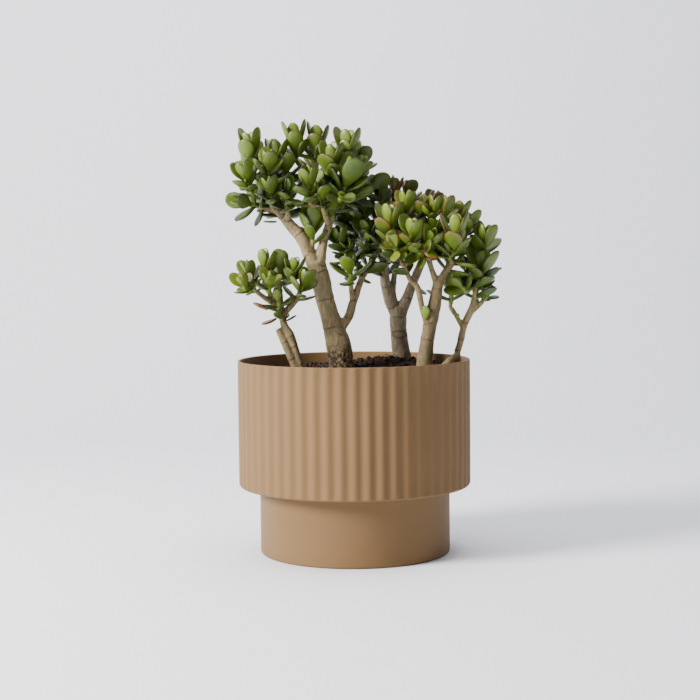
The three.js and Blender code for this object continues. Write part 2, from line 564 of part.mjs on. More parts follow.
// The green tips, then the leaves in the order of the table. A leaf that would cross another
// spray or a stem is bent clear, or left out if no bend clears it.
const sprays = {};
for (const shoot of shoots) {
  const owner = shootNamed[shoot.carrier] ? shoot.carrier : shoot.name;
  const pieces = [greenTip(shoot)];
  if (owner !== shoot.name) pieces.push(branch(twigPoints(shoot), TWIG_SIDES));
  sprays[owner] ??= [];
  sprays[owner].push(...pieces);
  for (const solid of pieces) obstacles.push({ solid, box: boxOf(solid), owner });
}
for (const shoot of shoots) {
  const owner = shootNamed[shoot.carrier] ? shoot.carrier : shoot.name;
  const others = obstacles.filter((other) => other.owner !== owner);
  for (const leaf of leavesOf(shoot)) {
    const fit = leaf.tries.find((attempt) => !crosses(leafSolid(attempt, SPARE_ROOM), others));
    if (!fit) continue;
    const solid = leafSolid(fit, 0);
    sprays[owner].push(solid);
    obstacles.push({ solid, box: boxOf(solid), owner });
  }
}

const model = new THREE.Group();

function addNode(name, solid, colour, roughness) {
  const material = new THREE.MeshStandardMaterial({ color: colour, roughness, metalness: 0 });
  const mesh = new THREE.Mesh(geometryFrom(solid), material);
  mesh.name = name;
  model.add(mesh);
}

addNode('pot', makePot(), '#b0906d', 0.6);
addNode('soil', makeSoil(holes), '#2a1d15', 1);
for (const [stem, { colour }] of Object.entries(STEMS)) {
  addNode(stem, stemSolids[stem], colour, 0.85);
}
for (const [shoot, pieces] of Object.entries(sprays)) {
  addNode(`leaves_${shoot}`, fused(pieces), LEAF_COLOUR, 0.45);
}

export default model;
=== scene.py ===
# The looks of a potted minor jade plant: a powder-coated steel pot with soft ribs, peat,
# barky stems and waxy leaves in crossed pairs. The tables and growth rules are those of the
# part's own source, in millimetres; meshes are made in metres.
import math

import bpy
import numpy as np
from mathutils import Matrix, Vector, kdtree, noise


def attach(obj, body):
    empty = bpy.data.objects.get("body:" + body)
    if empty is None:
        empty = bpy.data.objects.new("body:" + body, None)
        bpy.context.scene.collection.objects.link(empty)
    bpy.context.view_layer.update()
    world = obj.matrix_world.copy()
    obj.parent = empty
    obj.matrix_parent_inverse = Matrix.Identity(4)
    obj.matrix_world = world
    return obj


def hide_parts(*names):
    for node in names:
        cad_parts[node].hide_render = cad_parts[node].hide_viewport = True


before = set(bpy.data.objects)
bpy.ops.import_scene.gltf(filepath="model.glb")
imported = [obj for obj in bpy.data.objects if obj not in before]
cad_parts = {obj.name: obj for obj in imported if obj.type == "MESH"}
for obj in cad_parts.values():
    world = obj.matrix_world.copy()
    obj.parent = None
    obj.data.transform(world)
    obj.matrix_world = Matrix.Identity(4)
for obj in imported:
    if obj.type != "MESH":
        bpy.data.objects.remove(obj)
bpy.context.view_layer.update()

MM = 0.001

# The pot
DRUM_RADIUS = 115.0
DRUM_BOTTOM = 66.7
POT_HEIGHT = 191.2
FOOT_RADIUS = 94.3
RIB_COUNT = 56
RIB_DEPTH = 1.4
POINTS_A_RIB = 12
DRUM_BEVEL = 3.0
FOOT_BEVEL = 2.5
WALL = 2.8
RIM_ROUND = 1.2
# The small cove between the foot and the drum, and the fillet round the inside.
COVE = 1.2
INSIDE_FILLET = 1.0
# Rings of points on the flat undersides and half way up the inside.
FLOOR_RINGS = (6.0, 60.0)
OVERHANG_RING = 104.0
INSIDE_RING_HEIGHT = 150.0
INNER_RADIUS = DRUM_RADIUS - WALL
FOOT_INNER_RADIUS = FOOT_RADIUS - WALL

# The soil
SOIL_LEVEL = 179.0
SOIL_MOUND = 10.0
SOIL_MOUND_PLACE = (42.0, 42.0)
SOIL_MOUND_SPREAD = 48.0
SOIL_WAVE = 1.2
LONG_WAVE = (9.0, 11.0)
SHORT_WAVE = (5.0, 6.0)
CLOD_SIZE = 3.5
GRAIN_SIZE = 1.5
FIT_GAP = 0.3
SOIL_ENTRY_HEIGHT = 183.0
BURIED_LENGTH = 26.0

# The twigs and their green tips
TWIG_BELOW_TIP = 6.0
TWIG_RISE = 12.0
TWIG_ROOT_RADIUS = 3.2
TWIG_TIP_RADIUS = 2.1
TWIG_SHARE_OF_LIMB = 0.8
TWIG_PLACES = 24
ELBOW_BELOW_TIP = 5.0
FORK_HEIGHT = 3.0
FIRST_PAIR_HEIGHT = 2.8
FIRST_INTERNODE = 4.2
USUAL_LENGTH = 24.0
INTERNODE_SHRINK = 0.74

# The leaves
WIDTH_TO_LENGTH = 0.66
LEAF_THICKNESS = 3.2
WIDEST_AT = 0.62
STALK_SHARE = 0.3
INNER_SPREAD = 13.0
SPREAD_POWER = 0.85
SIZE_ALONG_SHOOT = (0.84, 0.62, -0.76)
TURN_VARIES = 9.0
LEAN_VARIES = 6.0
SIZE_VARIES = 0.07
INNER_SLIMMING = 0.18
LEAF_BEND = 0.42
BEND_VARIES = 0.16
LEAF_CUP = 0.16
CUP_VARIES = 0.08
LOW_CORNER = 0.45
HIGH_CORNER = 0.83
CORNER_TOLERANCE = 0.06

# Points on each limb's centre line, [x, y, z, radius].
LIMBS = {
    "main_trunk": [[-13, -8, 179, 12.6], [-13, -8, 190, 12.4], [-15, -8, 206, 12.7],
        [-20, -8, 224, 10.4], [-27, -8, 248, 9.2], [-32, -9, 271, 9.7], [-37, -10, 288, 9.6]],
    "main_left": [[-36, -10, 282, 7.9], [-45, -12, 301, 6.6], [-51, -13, 313, 6.4],
        [-61, -12, 324, 5.5], [-71, -10, 336, 4.8], [-80, -7, 347, 4.1]],
    "main_left_up": [[-69, -11, 333, 4.1], [-78, -12, 352, 3.5], [-84, -14, 364, 2.9]],
    "main_left_back": [[-65, -11, 328, 4.1], [-73, 8, 346, 3.4], [-79, 20, 357, 2.8]],
    "main_right": [[-34, -10, 284, 6.9], [-30, -12, 301, 4.9], [-27, -13, 313, 4.4],
        [-23, -13, 324, 4.2], [-21, -12, 335, 4.0], [-18, -10, 345, 4.1]],
    "main_right_left": [[-20, -12, 339, 3.7], [-30, -6, 356, 3.3], [-39, -2, 368, 2.8]],
    "main_right_up": [[-18, -11, 342, 3.7], [-12, -10, 358, 3.3], [-5, -6, 368, 3.0]],
    "main_right_back": [[-20, -11, 337, 3.7], [-21, 10, 354, 3.2], [-19, 22, 363, 2.8]],
    "main_side": [[-17, -8, 218, 5.9], [-5, -9, 233, 4.5], [0, -8, 248, 4.2], [8, -2, 269, 3.2],
        [15, 6, 281, 3.0], [23, 14, 295, 2.8], [25, 18, 309, 2.6]],
    "small_stem": [[-49, -35, 178, 4.4], [-52, -35, 188, 4.1], [-57, -37, 206, 3.5],
        [-61, -40, 218, 3.9], [-67, -40, 228, 3.6], [-69, -38, 242, 3.3]],
    "small_stub": [[-53, -35, 178, 4.4], [-57, -35, 188, 4.4], [-66, -37, 210, 4.4],
        [-72, -39, 224, 3.8]],
    "middle_trunk": [[50, 50, 182, 9.8], [49, 50, 194, 9.4], [47, 50, 207, 8.8],
        [46, 50, 222, 8.6], [46, 50, 240, 8.8]],
    "middle_left": [[44, 50, 235, 7.2], [37, 48, 249, 5.8], [33, 45, 266, 5.3], [32, 42, 283, 4.7],
        [30, 38, 301, 4.1], [26, 32, 319, 3.2]],
    "middle_thin": [[43, 50, 240, 4.1], [41, 50, 254, 3.3], [42, 50, 270, 3.1], [46, 52, 301, 2.8],
        [49, 50, 321, 2.6]],
    "middle_right": [[48, 50, 235, 7.2], [55, 50, 249, 5.6], [60, 50, 262, 4.9], [71, 45, 290, 4.0],
        [72, 40, 311, 3.0]],
    "front_trunk": [[69, -25, 178, 8.4], [69, -25, 188, 8.2], [71, -25, 204, 7.2],
        [74, -25, 224, 6.9], [77, -25, 237, 7.0], [81, -26, 257, 5.6], [83, -27, 268, 5.2]],
    "front_right": [[82, -27, 264, 5.0], [90, -27, 277, 3.8], [94, -27, 285, 3.6],
        [97, -27, 294, 3.3]],
    "front_left": [[82, -27, 264, 3.9], [75, -29, 283, 2.6], [69, -28, 302, 2.3],
        [68, -22, 314, 2.1]],
    "front_side": [[73, -26, 226, 4.4], [67, -32, 241, 3.0], [62, -35, 262, 3.1],
        [54, -37, 272, 2.6], [45, -38, 292, 2.2]],
    "edge_stem": [[103, -10, 182, 3.7], [102, -10, 196, 3.3], [105, -9, 207, 3.4],
        [109, -8, 224, 3.5], [116, -8, 239, 3.6], [119, -8, 249, 3.3], [125, -5, 274, 2.5]],
    "edge_left": [[108, -8, 221, 2.6], [101, -8, 234, 2.3], [97, -8, 241, 2.1]],
    "edge_root": [[84, -30, 180, 4.4], [91, -24, 187, 4.1], [97, -17, 192, 3.8],
        [103, -11, 196, 3.3]],
}

STEMS = {
    "stem_main": ["main_trunk", "main_left", "main_left_up", "main_left_back", "main_right",
                  "main_right_left", "main_right_up", "main_right_back", "main_side"],
    "stem_small": ["small_stem", "small_stub"],
    "stem_middle": ["middle_trunk", "middle_left", "middle_thin", "middle_right"],
    "stem_front": ["front_trunk", "front_right", "front_left", "front_side"],
    "stem_edge": ["edge_stem", "edge_left", "edge_root"],
}

# Name, carrier, start of the green tip, pointing, pairs, longest leaf, turn and lean of the
# first pair.
SHOOTS = [
    ["left_crown_1", "main_left_up", [-92, -20, 342], [-0.75, -0.45, 0.22], 3, 28, 60, 56],
    ["left_crown_2", "left_crown_1", [-98, -30, 358], [-0.35, -0.3, 0.85], 3, 26, 60, 46],
    ["left_crown_3", "main_left_up", [-98, -8, 380], [-0.08, -0.05, 1], 3, 33, 62, 32],
    ["left_crown_10", "main_left_up", [-78, -30, 346], [-0.15, -0.4, 0.85], 3, 24, 30, 52],
    ["left_crown_4", "left_crown_10", [-81, -26, 367], [0, -0.15, 1], 3, 27, 20, 44],
    ["left_crown_5", "main_left_up", [-75, -4, 375], [0, 0, 1], 3, 28, 70, 38],
    ["left_crown_6", "main_left_back", [-96, 22, 370], [-0.4, 0.4, 0.85], 3, 29, 30, 52],
    ["left_crown_7", "main_left_back", [-80, 32, 375], [0.05, 0.4, 0.9], 3, 29, 0, 50],
    ["left_crown_8", "main_left_back", [-84, 26, 349], [-0.5, 0.75, 0.35], 3, 27, 40, 58],
    ["left_crown_11", "main_left", [-63, -26, 345], [0.1, -0.35, 0.9], 3, 24, 70, 52],
    ["left_crown_12", "left_crown_11", [-66, -10, 366], [0.05, 0, 1], 3, 25, 20, 44],
    ["right_crown_1", "main_right_left", [-55, 2, 391], [-0.1, 0.05, 1], 3, 30, 90, 38],
    ["right_crown_2", "right_crown_1", [-36, 8, 389], [0.08, 0.05, 1], 3, 30, 80, 36],
    ["right_crown_3", "main_right_left", [-40, -34, 348], [-0.15, -0.38, 0.9], 3, 32, 60, 48],
    ["right_crown_15", "right_crown_3", [-52, -26, 342], [-0.6, -0.3, 0.5], 2, 25, 60, 56],
    ["right_crown_14", "main_right", [-28, -30, 342], [-0.1, -0.45, 0.85], 3, 24, 20, 52],
    ["right_crown_4", "right_crown_14", [-20, -22, 369], [0, -0.1, 1], 3, 31, 60, 38],
    ["right_crown_5", "main_right", [-10, -28, 351], [0.3, -0.2, 1], 3, 36, 20, 44],
    ["right_crown_12", "right_crown_5", [-12, -40, 346], [0.1, -0.8, 0.3], 2, 17, 0, 66],
    ["right_crown_16", "main_right_up", [-2, -8, 349], [0.8, -0.15, 0.45], 2, 27, 15, 54],
    ["right_crown_6", "right_crown_16", [-2, -14, 364], [0.42, -0.12, 0.9], 3, 27, 50, 48],
    ["right_crown_7", "main_right_up", [-5, -8, 382], [0, -0.05, 1], 3, 31, 60, 40],
    ["right_crown_8", "main_right_up", [5, 4, 373], [0.3, 0.05, 0.95], 3, 27, 20, 46],
    ["right_crown_9", "main_right_back", [-36, 32, 373], [-0.1, 0.4, 0.9], 3, 29, 10, 50],
    ["right_crown_10", "main_right_back", [-11, 34, 377], [0.2, 0.45, 0.9], 3, 29, 50, 50],
    ["right_crown_11", "main_right_back", [-26, 28, 350], [-0.1, 0.85, 0.35], 3, 26, 20, 58],
    ["right_crown_13", "main_right_up", [8, 14, 357], [0.7, 0.35, 0.45], 3, 26, 40, 58],
    ["fork_shoot", "main_left", [-39, -15, 311], [0.02, -0.12, 1], 3, 30, 30, 34],
    ["side_branch_1", "main_side", [-2, -12, 265], [-0.04, -0.15, 1], 4, 27, 80, 84],
    ["side_branch_2", "main_side", [4, -4, 287], [-0.45, -0.3, 0.8], 3, 26, 20, 56],
    ["side_branch_7", "side_branch_2", [-10, -6, 296], [-0.3, -0.2, 0.9], 3, 24, 60, 50],
    ["side_branch_3", "main_side", [18, 8, 302], [-0.2, -0.35, 0.9], 3, 29, 70, 54],
    ["side_branch_8", "side_branch_3", [28, -4, 301], [0.2, -0.4, 0.85], 3, 26, 30, 54],
    ["side_branch_9", "side_branch_2", [13, -2, 295], [0.1, -0.35, 0.9], 3, 26, 60, 54],
    ["side_branch_4", "main_side", [3, 26, 316], [-0.35, 0.1, 0.95], 3, 29, 20, 50],
    ["side_branch_6", "side_branch_4", [-8, 30, 325], [-0.4, 0.15, 0.9], 3, 28, 50, 50],
    ["side_branch_5", "main_side", [13, 14, 326], [-0.2, -0.15, 1], 3, 28, 50, 48],
    ["middle_10", "middle_left", [24, 24, 317], [-0.1, -0.3, 0.95], 3, 27, 60, 52],
    ["middle_1", "middle_10", [29, 26, 340], [-0.05, -0.1, 1], 3, 27, 45, 48],
    ["middle_2", "middle_left", [41, 36, 343], [0.08, -0.02, 1], 3, 26, 80, 44],
    ["middle_3", "middle_2", [55, 42, 343], [0.15, -0.02, 1], 3, 24, 20, 48],
    ["middle_4", "middle_left", [14, 46, 305], [-0.5, 0.2, 0.75], 3, 28, 30, 58],
    ["middle_8", "middle_4", [1, 36, 293], [-0.6, -0.1, 0.6], 2, 26, 60, 58],
    ["middle_5", "middle_thin", [41, 70, 326], [-0.05, 0.55, 0.8], 3, 28, 0, 56],
    ["middle_6", "middle_right", [65, 64, 321], [0.25, 0.5, 0.85], 3, 27, 40, 56],
    ["middle_7", "middle_right", [78, 36, 331], [0.25, 0.05, 1], 3, 25, 30, 50],
    ["front_1", "front_14", [37, -32, 309], [-0.05, -0.15, 1], 3, 32, 55, 42],
    ["front_14", "front_side", [44, -40, 297], [-0.1, -0.4, 0.8], 2, 24, 50, 60],
    ["front_2", "front_side", [56, -46, 300], [0.02, -0.3, 1], 3, 27, 45, 48],
    ["front_12", "front_2", [43, -50, 297], [-0.35, -0.5, 0.35], 2, 22, 90, 64],
    ["front_3", "front_left", [53, -20, 328], [-0.05, -0.1, 1], 3, 25, 40, 44],
    ["front_4", "front_left", [67, -14, 327], [0.05, 0, 1], 3, 25, 75, 42],
    ["front_5", "front_4", [77, -20, 325], [0.08, -0.05, 1], 3, 23, 40, 46],
    ["front_10", "front_left", [74, -38, 295], [0.05, -0.5, 0.75], 3, 25, 50, 56],
    ["front_13", "front_10", [67, -46, 293], [-0.45, -0.5, 0.35], 2, 23, 10, 60],
    ["front_6", "front_15", [88, -16, 321], [0, -0.05, 1], 3, 26, 30, 44],
    ["front_15", "front_right", [82, -22, 307], [-0.2, -0.25, 0.9], 3, 23, 70, 50],
    ["front_7", "front_right", [102, -6, 317], [0.12, 0, 1], 3, 26, 60, 44],
    ["front_8", "front_right", [110, -4, 309], [0.24, 0.05, 0.95], 3, 27, 60, 44],
    ["front_9", "front_16", [98, -42, 296], [0.02, -0.2, 1], 3, 33, 75, 42],
    ["front_16", "front_right", [94, -36, 289], [-0.3, -0.35, 0.8], 2, 23, 20, 58],
    ["front_11", "front_right", [97, 18, 304], [0.3, 0.65, 0.65], 3, 26, 30, 58],
    ["edge_1", "edge_stem", [127, -6, 290], [0.1, -0.06, 1], 3, 31, 40, 46],
    ["edge_2", "edge_stem", [121, -14, 264], [0.2, -0.2, 1], 3, 33, 60, 50],
    ["edge_6", "edge_2", [111, -22, 257], [-0.5, -0.4, 0.5], 2, 26, 0, 54],
    ["edge_3", "edge_stem", [119, 14, 271], [0.1, 0.6, 0.75], 3, 27, 50, 58],
    ["edge_4", "edge_left", [96, -9, 246], [0.05, -0.05, 1], 3, 30, 10, 74],
    ["edge_5", "edge_stem", [128, -10, 249], [0.55, -0.15, 0.75], 2, 17, 10, 50],
    ["small_1", "small_stem", [-95, -44, 265], [-0.32, -0.2, 0.9], 3, 24, 30, 50],
    ["small_7", "small_1", [-99, -58, 259], [-0.4, -0.5, 0.75], 3, 20, 60, 50],
    ["small_2", "small_stem", [-85, -40, 270], [-0.04, -0.12, 1], 3, 27, 70, 42],
    ["small_9", "small_2", [-80, -56, 260], [-0.05, -0.5, 0.85], 3, 20, 30, 50],
    ["small_3", "small_stem", [-71, -34, 271], [0.02, -0.02, 1], 3, 26, 15, 44],
    ["small_8", "small_3", [-60, -40, 268], [0.2, -0.2, 0.95], 3, 23, 70, 44],
    ["small_4", "small_stem", [-52, -46, 257], [0.3, -0.22, 0.9], 3, 24, 40, 50],
    ["small_5", "small_stem", [-75, -14, 265], [-0.05, 0.65, 0.72], 3, 24, 30, 58],
    ["small_6", "small_stem", [-71, -46, 243], [-0.1, -0.3, 0.9], 2, 22, 10, 84],
]

# How yellow and light the greens of a crown are, and how much its leaves blush, both from 0 to 1.
# The greens are partly the crown's own and partly painted light and shade: sunlit crowns are set
# lighter, the middle crown at the back darker.
CROWN_TONES = {
    "left_crown": (0.62, 0.10),
    "right_crown": (0.55, 0.16),
    "fork": (1.00, 0.05),
    "side_branch_1": (0.95, 0.05),
    "side_branch": (0.52, 0.08),
    "middle": (0.24, 0.60),
    "front": (0.72, 0.38),
    "edge": (0.66, 0.12),
    "small": (0.80, 0.34),
}

# A shoot is shaded by the shoots that stand higher near it.
SHADE_RISE = 8.0
SHADE_REACH = 30.0
FULL_SHADE = 4
SHADE_DARKENS = 0.30
SHADE_HIDES_BLUSH = 0.7

# Outer leaves are older and darker, and the young inner ones blush less.
INNER_PALER = 0.28
TONE_VARIES = 0.16
INNER_BLUSH_LOST = 0.35
BLUSH_VARIES = 0.9

# Older pairs of leaves: how far below the green tip they sit, and the draw, between -1 and 1,
# under which a leaf has dropped. A rosette whose first pair lies flat has none.
OLD_PAIRS_BELOW = (1.5, 6.0)
OLD_LEAVES_LOST = -0.4
LYING = 70
OLD_LEAF_TURN_VARIES = 25
OLD_LEAF_LEANS_MORE = 12
OLD_LEAF_LEAN_VARIES = 10
OLD_LEAF_SHARE = 0.74
OLD_LEAF_SHARE_VARIES = 0.1
OLD_LEAF_FORM = {"slim": 0.85, "bend": 0.3, "cup": 0.12}

# Leaves that sit straight on a limb inside a crown, from a share of the limb onward.
LEAFY_FROM = {
    "main_left": 0.8, "main_left_up": 0.0, "main_left_back": 0.2, "main_right": 0.75,
    "main_right_left": 0.1, "main_right_up": 0.1, "main_right_back": 0.1, "main_side": 0.55,
    "middle_left": 0.45, "middle_thin": 0.7, "middle_right": 0.75, "front_left": 0.6,
    "front_side": 0.75, "front_right": 0.5, "edge_stem": 0.75, "small_stem": 0.85,
}
LEAFY_STEP = 7.0
LEAFY_STEP_VARIES = 0.2
LIMB_PAIR_TURN = 75
LIMB_LEAF_TURN_VARIES = 20
LIMB_LEAF_LENGTH = 22.0
LIMB_LEAF_LENGTH_VARIES = 0.2
LIMB_LEAF_LEAN = 62.0
LIMB_LEAF_LEAN_VARIES = 14

# Single leaves and buds on bare wood: place, turn from +X, lean from upright, length, tone
# and blush.
SINGLE_LEAVES = [
    ([68, -46, 304], -58, 130, 23, 0.60, 0.75),
    ([99, -40, 286], -20, 100, 20, 0.75, 0.10),
    ([-73, -25, 327], 190, 88, 14, 0.30, 0.00),
    ([62, 46, 263], -30, 125, 17, 0.10, 0.00),
    ([70, -32, 231], -100, 14, 14, 1.00, 0.00),
    ([71, -31, 230], 70, 26, 12, 1.00, 0.00),
    ([102, -12, 230], -90, 30, 7, 0.90, 0.00),
    ([-82, -46, 243], 222, 68, 18, 0.30, 1.20),
    ([-74, -42, 234], 214, 108, 17, 0.20, 0.60),
    ([-66, -42, 231], -10, 62, 13, 0.15, 0.20),
    ([-2, -10, 288], 200, 95, 20, 0.35, 0.05),
]

# The camera, fitted to the photograph
CAMERA_PLACE = (-3.63, -1461.6, 295.4)
CAMERA_PITCH = 0.0651
CAMERA_ROLL = 0.0094
CAMERA_LENS = 75.97


def add_camera():
    cosine, sine = math.cos(CAMERA_PITCH), math.sin(CAMERA_PITCH)
    forward = Vector((0, cosine, -sine))
    level_right = Vector((1, 0, 0))
    level_up = Vector((0, sine, cosine))
    right = level_right * math.cos(CAMERA_ROLL) - level_up * math.sin(CAMERA_ROLL)
    up = level_right * math.sin(CAMERA_ROLL) + level_up * math.cos(CAMERA_ROLL)
    data = bpy.data.cameras.new("camera")
    data.lens = CAMERA_LENS
    data.sensor_width = 36
    data.clip_start = 0.05
    data.clip_end = 50
    camera = bpy.data.objects.new("camera", data)
    turn = Matrix((right, up, -forward)).transposed().to_4x4()
    camera.matrix_world = Matrix.Translation(Vector(CAMERA_PLACE) * MM) @ turn
    bpy.context.scene.collection.objects.link(camera)
    bpy.context.scene.camera = camera


add_camera()


# Materials

def linear(hex_colour):
    """An sRGB hex colour as the linear RGBA that the shaders take."""
    channels = [int(hex_colour[i:i + 2], 16) / 255 for i in (1, 3, 5)]
    return [c / 12.92 if c <= 0.04045 else ((c + 0.055) / 1.055) ** 2.4 for c in channels] + [1]


def add_node(material, kind, inputs=None, **settings):
    """Adds a node. Inputs maps a socket's name or number to a value or another node's output."""
    made = material.node_tree.nodes.new(kind)
    for name, value in settings.items():
        setattr(made, name, value)
    for key, value in (inputs or {}).items():
        if isinstance(value, bpy.types.NodeSocket):
            material.node_tree.links.new(value, made.inputs[key])
        else:
            made.inputs[key].default_value = value
    return made


def new_material(name):
    material = bpy.data.materials.new(name)
    material.use_nodes = True
    material.node_tree.nodes.clear()
    return material


def finish_material(material, inputs):
    shader = add_node(material, "ShaderNodeBsdfPrincipled", inputs)
    add_node(material, "ShaderNodeOutputMaterial", {"Surface": shader.outputs["BSDF"]})
    return material


def powder_coated_steel():
    """Polyester powder coat on steel: an even tan with a very fine orange peel and a weak
    gloss that takes the coat's own colour."""
    material = new_material("powder_coated_steel")
    place = add_node(material, "ShaderNodeTexCoord").outputs["Object"]
    drift = add_node(material, "ShaderNodeTexNoise", {
        "Vector": place, "Scale": 1 / (60 * MM), "Detail": 3.0})
    colour = add_node(material, "ShaderNodeMix", {
        0: drift.outputs["Fac"], 6: linear("#755D42"), 7: linear("#70583D")}, data_type="RGBA")
    # Powder grains are about 0.3 mm wide, drawn at 0.9 mm so that they show.
    peel = add_node(material, "ShaderNodeTexNoise", {
        "Vector": place, "Scale": 1 / (0.9 * MM), "Detail": 2.0})
    bump = add_node(material, "ShaderNodeBump", {
        "Height": peel.outputs["Fac"], "Strength": 0.25, "Distance": 0.05 * MM})
    roughness = add_node(material, "ShaderNodeMapRange", {
        "Value": drift.outputs["Fac"], "To Min": 0.5, "To Max": 0.58})
    return finish_material(material, {
        "Base Color": colour.outputs[2], "Roughness": roughness.outputs[0],
        "Specular IOR Level": 0.14, "Specular Tint": linear("#C0936A"),
        "Normal": bump.outputs["Normal"]})


def damp_peat():
    """Peat potting mix: near-black brown fibre, matt, with paler dry specks."""
    material = new_material("damp_peat")
    place = add_node(material, "ShaderNodeTexCoord").outputs["Object"]
    clods = add_node(material, "ShaderNodeTexNoise", {
        "Vector": place, "Scale": 1 / (5 * MM), "Detail": 6.0, "Roughness": 0.7})
    specks = add_node(material, "ShaderNodeTexVoronoi", {
        "Vector": place, "Scale": 1 / (2.4 * MM)})
    dry = add_node(material, "ShaderNodeMapRange", {
        "Value": specks.outputs["Color"], "From Min": 0.72, "From Max": 0.9})
    dark = add_node(material, "ShaderNodeMix", {
        0: clods.outputs["Fac"], 6: linear("#0B0604"), 7: linear("#29180F")}, data_type="RGBA")
    colour = add_node(material, "ShaderNodeMix", {
        0: dry.outputs[0], 6: dark.outputs[2], 7: linear("#4D3020")}, data_type="RGBA")
    bump = add_node(material, "ShaderNodeBump", {
        "Height": clods.outputs["Fac"], "Strength": 0.8, "Distance": 1.2 * MM})
    return finish_material(material, {
        "Base Color": colour.outputs[2], "Roughness": 0.95, "Specular IOR Level": 0.2,
        "Normal": bump.outputs["Normal"]})


def corky_bark(name, pale, brown, shade):
    """Thin corky bark: dry and matt, tan with grey and brown flecks that run along the limb,
    darker in the leaf-scar rings, darker with painted shade on a stem that stands in shade,
    green-brown on this year's wood and earthy at the foot."""
    material = new_material(name)
    place = add_node(material, "ShaderNodeTexCoord").outputs["Object"]
    # Flecks are about 2 mm wide and 8 mm long.
    along = add_node(material, "ShaderNodeMapping", {"Vector": place, "Scale": (1, 1, 0.25)})
    flecks = add_node(material, "ShaderNodeTexNoise", {
        "Vector": along.outputs[0], "Scale": 1 / (2.2 * MM), "Detail": 5.0, "Roughness": 0.65})
    patches = add_node(material, "ShaderNodeTexNoise", {
        "Vector": place, "Scale": 1 / (11 * MM), "Detail": 3.0})
    fleck_share = add_node(material, "ShaderNodeMapRange", {
        "Value": flecks.outputs["Fac"], "From Min": 0.38, "From Max": 0.66})
    patch_share = add_node(material, "ShaderNodeMapRange", {
        "Value": patches.outputs["Fac"], "From Min": 0.42, "From Max": 0.62, "To Max": 0.6})
    tan = add_node(material, "ShaderNodeMix", {
        0: fleck_share.outputs[0], 6: linear(brown), 7: linear(pale)}, data_type="RGBA")
    old = add_node(material, "ShaderNodeMix", {
        0: patch_share.outputs[0], 6: tan.outputs[2], 7: linear(shade)}, data_type="RGBA")
    # Painted shade: the bark of a stem that stands in shade is multiplied by a grey, by the share
    # its mesh carries.
    weather = add_node(material, "ShaderNodeAttribute", attribute_name="weather").outputs["Fac"]
    painted_stem_shade = add_node(material, "ShaderNodeMix", {
        0: weather, 6: old.outputs[2], 7: linear("#BFBBAE")},
        data_type="RGBA", blend_type="MULTIPLY")
    youth = add_node(material, "ShaderNodeAttribute", attribute_name="youth").outputs["Fac"]
    green = add_node(material, "ShaderNodeMix", {
        0: fleck_share.outputs[0], 6: linear("#6A5238"), 7: linear("#8C8550")},
        data_type="RGBA")
    grown = add_node(material, "ShaderNodeMix", {
        0: youth, 6: painted_stem_shade.outputs[2], 7: green.outputs[2]}, data_type="RGBA")
    scar = add_node(material, "ShaderNodeAttribute", attribute_name="scar").outputs["Fac"]
    ringed = add_node(material, "ShaderNodeMix", {
        0: scar, 6: grown.outputs[2], 7: linear("#4A3A28")}, data_type="RGBA")
    earth = add_node(material, "ShaderNodeAttribute", attribute_name="earth").outputs["Fac"]
    crust = add_node(material, "ShaderNodeTexNoise", {
        "Vector": place, "Scale": 1 / (4 * MM), "Detail": 5.0, "Roughness": 0.7})
    crust_share = add_node(material, "ShaderNodeMapRange", {
        "Value": crust.outputs["Fac"], "From Min": 0.4, "From Max": 0.52})
    soiled = add_node(material, "ShaderNodeMath", {
        0: earth, 1: crust_share.outputs[0]}, operation="MULTIPLY")
    colour = add_node(material, "ShaderNodeMix", {
        0: soiled.outputs[0], 6: ringed.outputs[2], 7: linear("#3A2814")}, data_type="RGBA")
    bump = add_node(material, "ShaderNodeBump", {
        "Height": flecks.outputs["Fac"], "Strength": 0.7, "Distance": 0.4 * MM})
    return finish_material(material, {
        "Base Color": colour.outputs[2], "Roughness": 0.82, "Normal": bump.outputs["Normal"]})


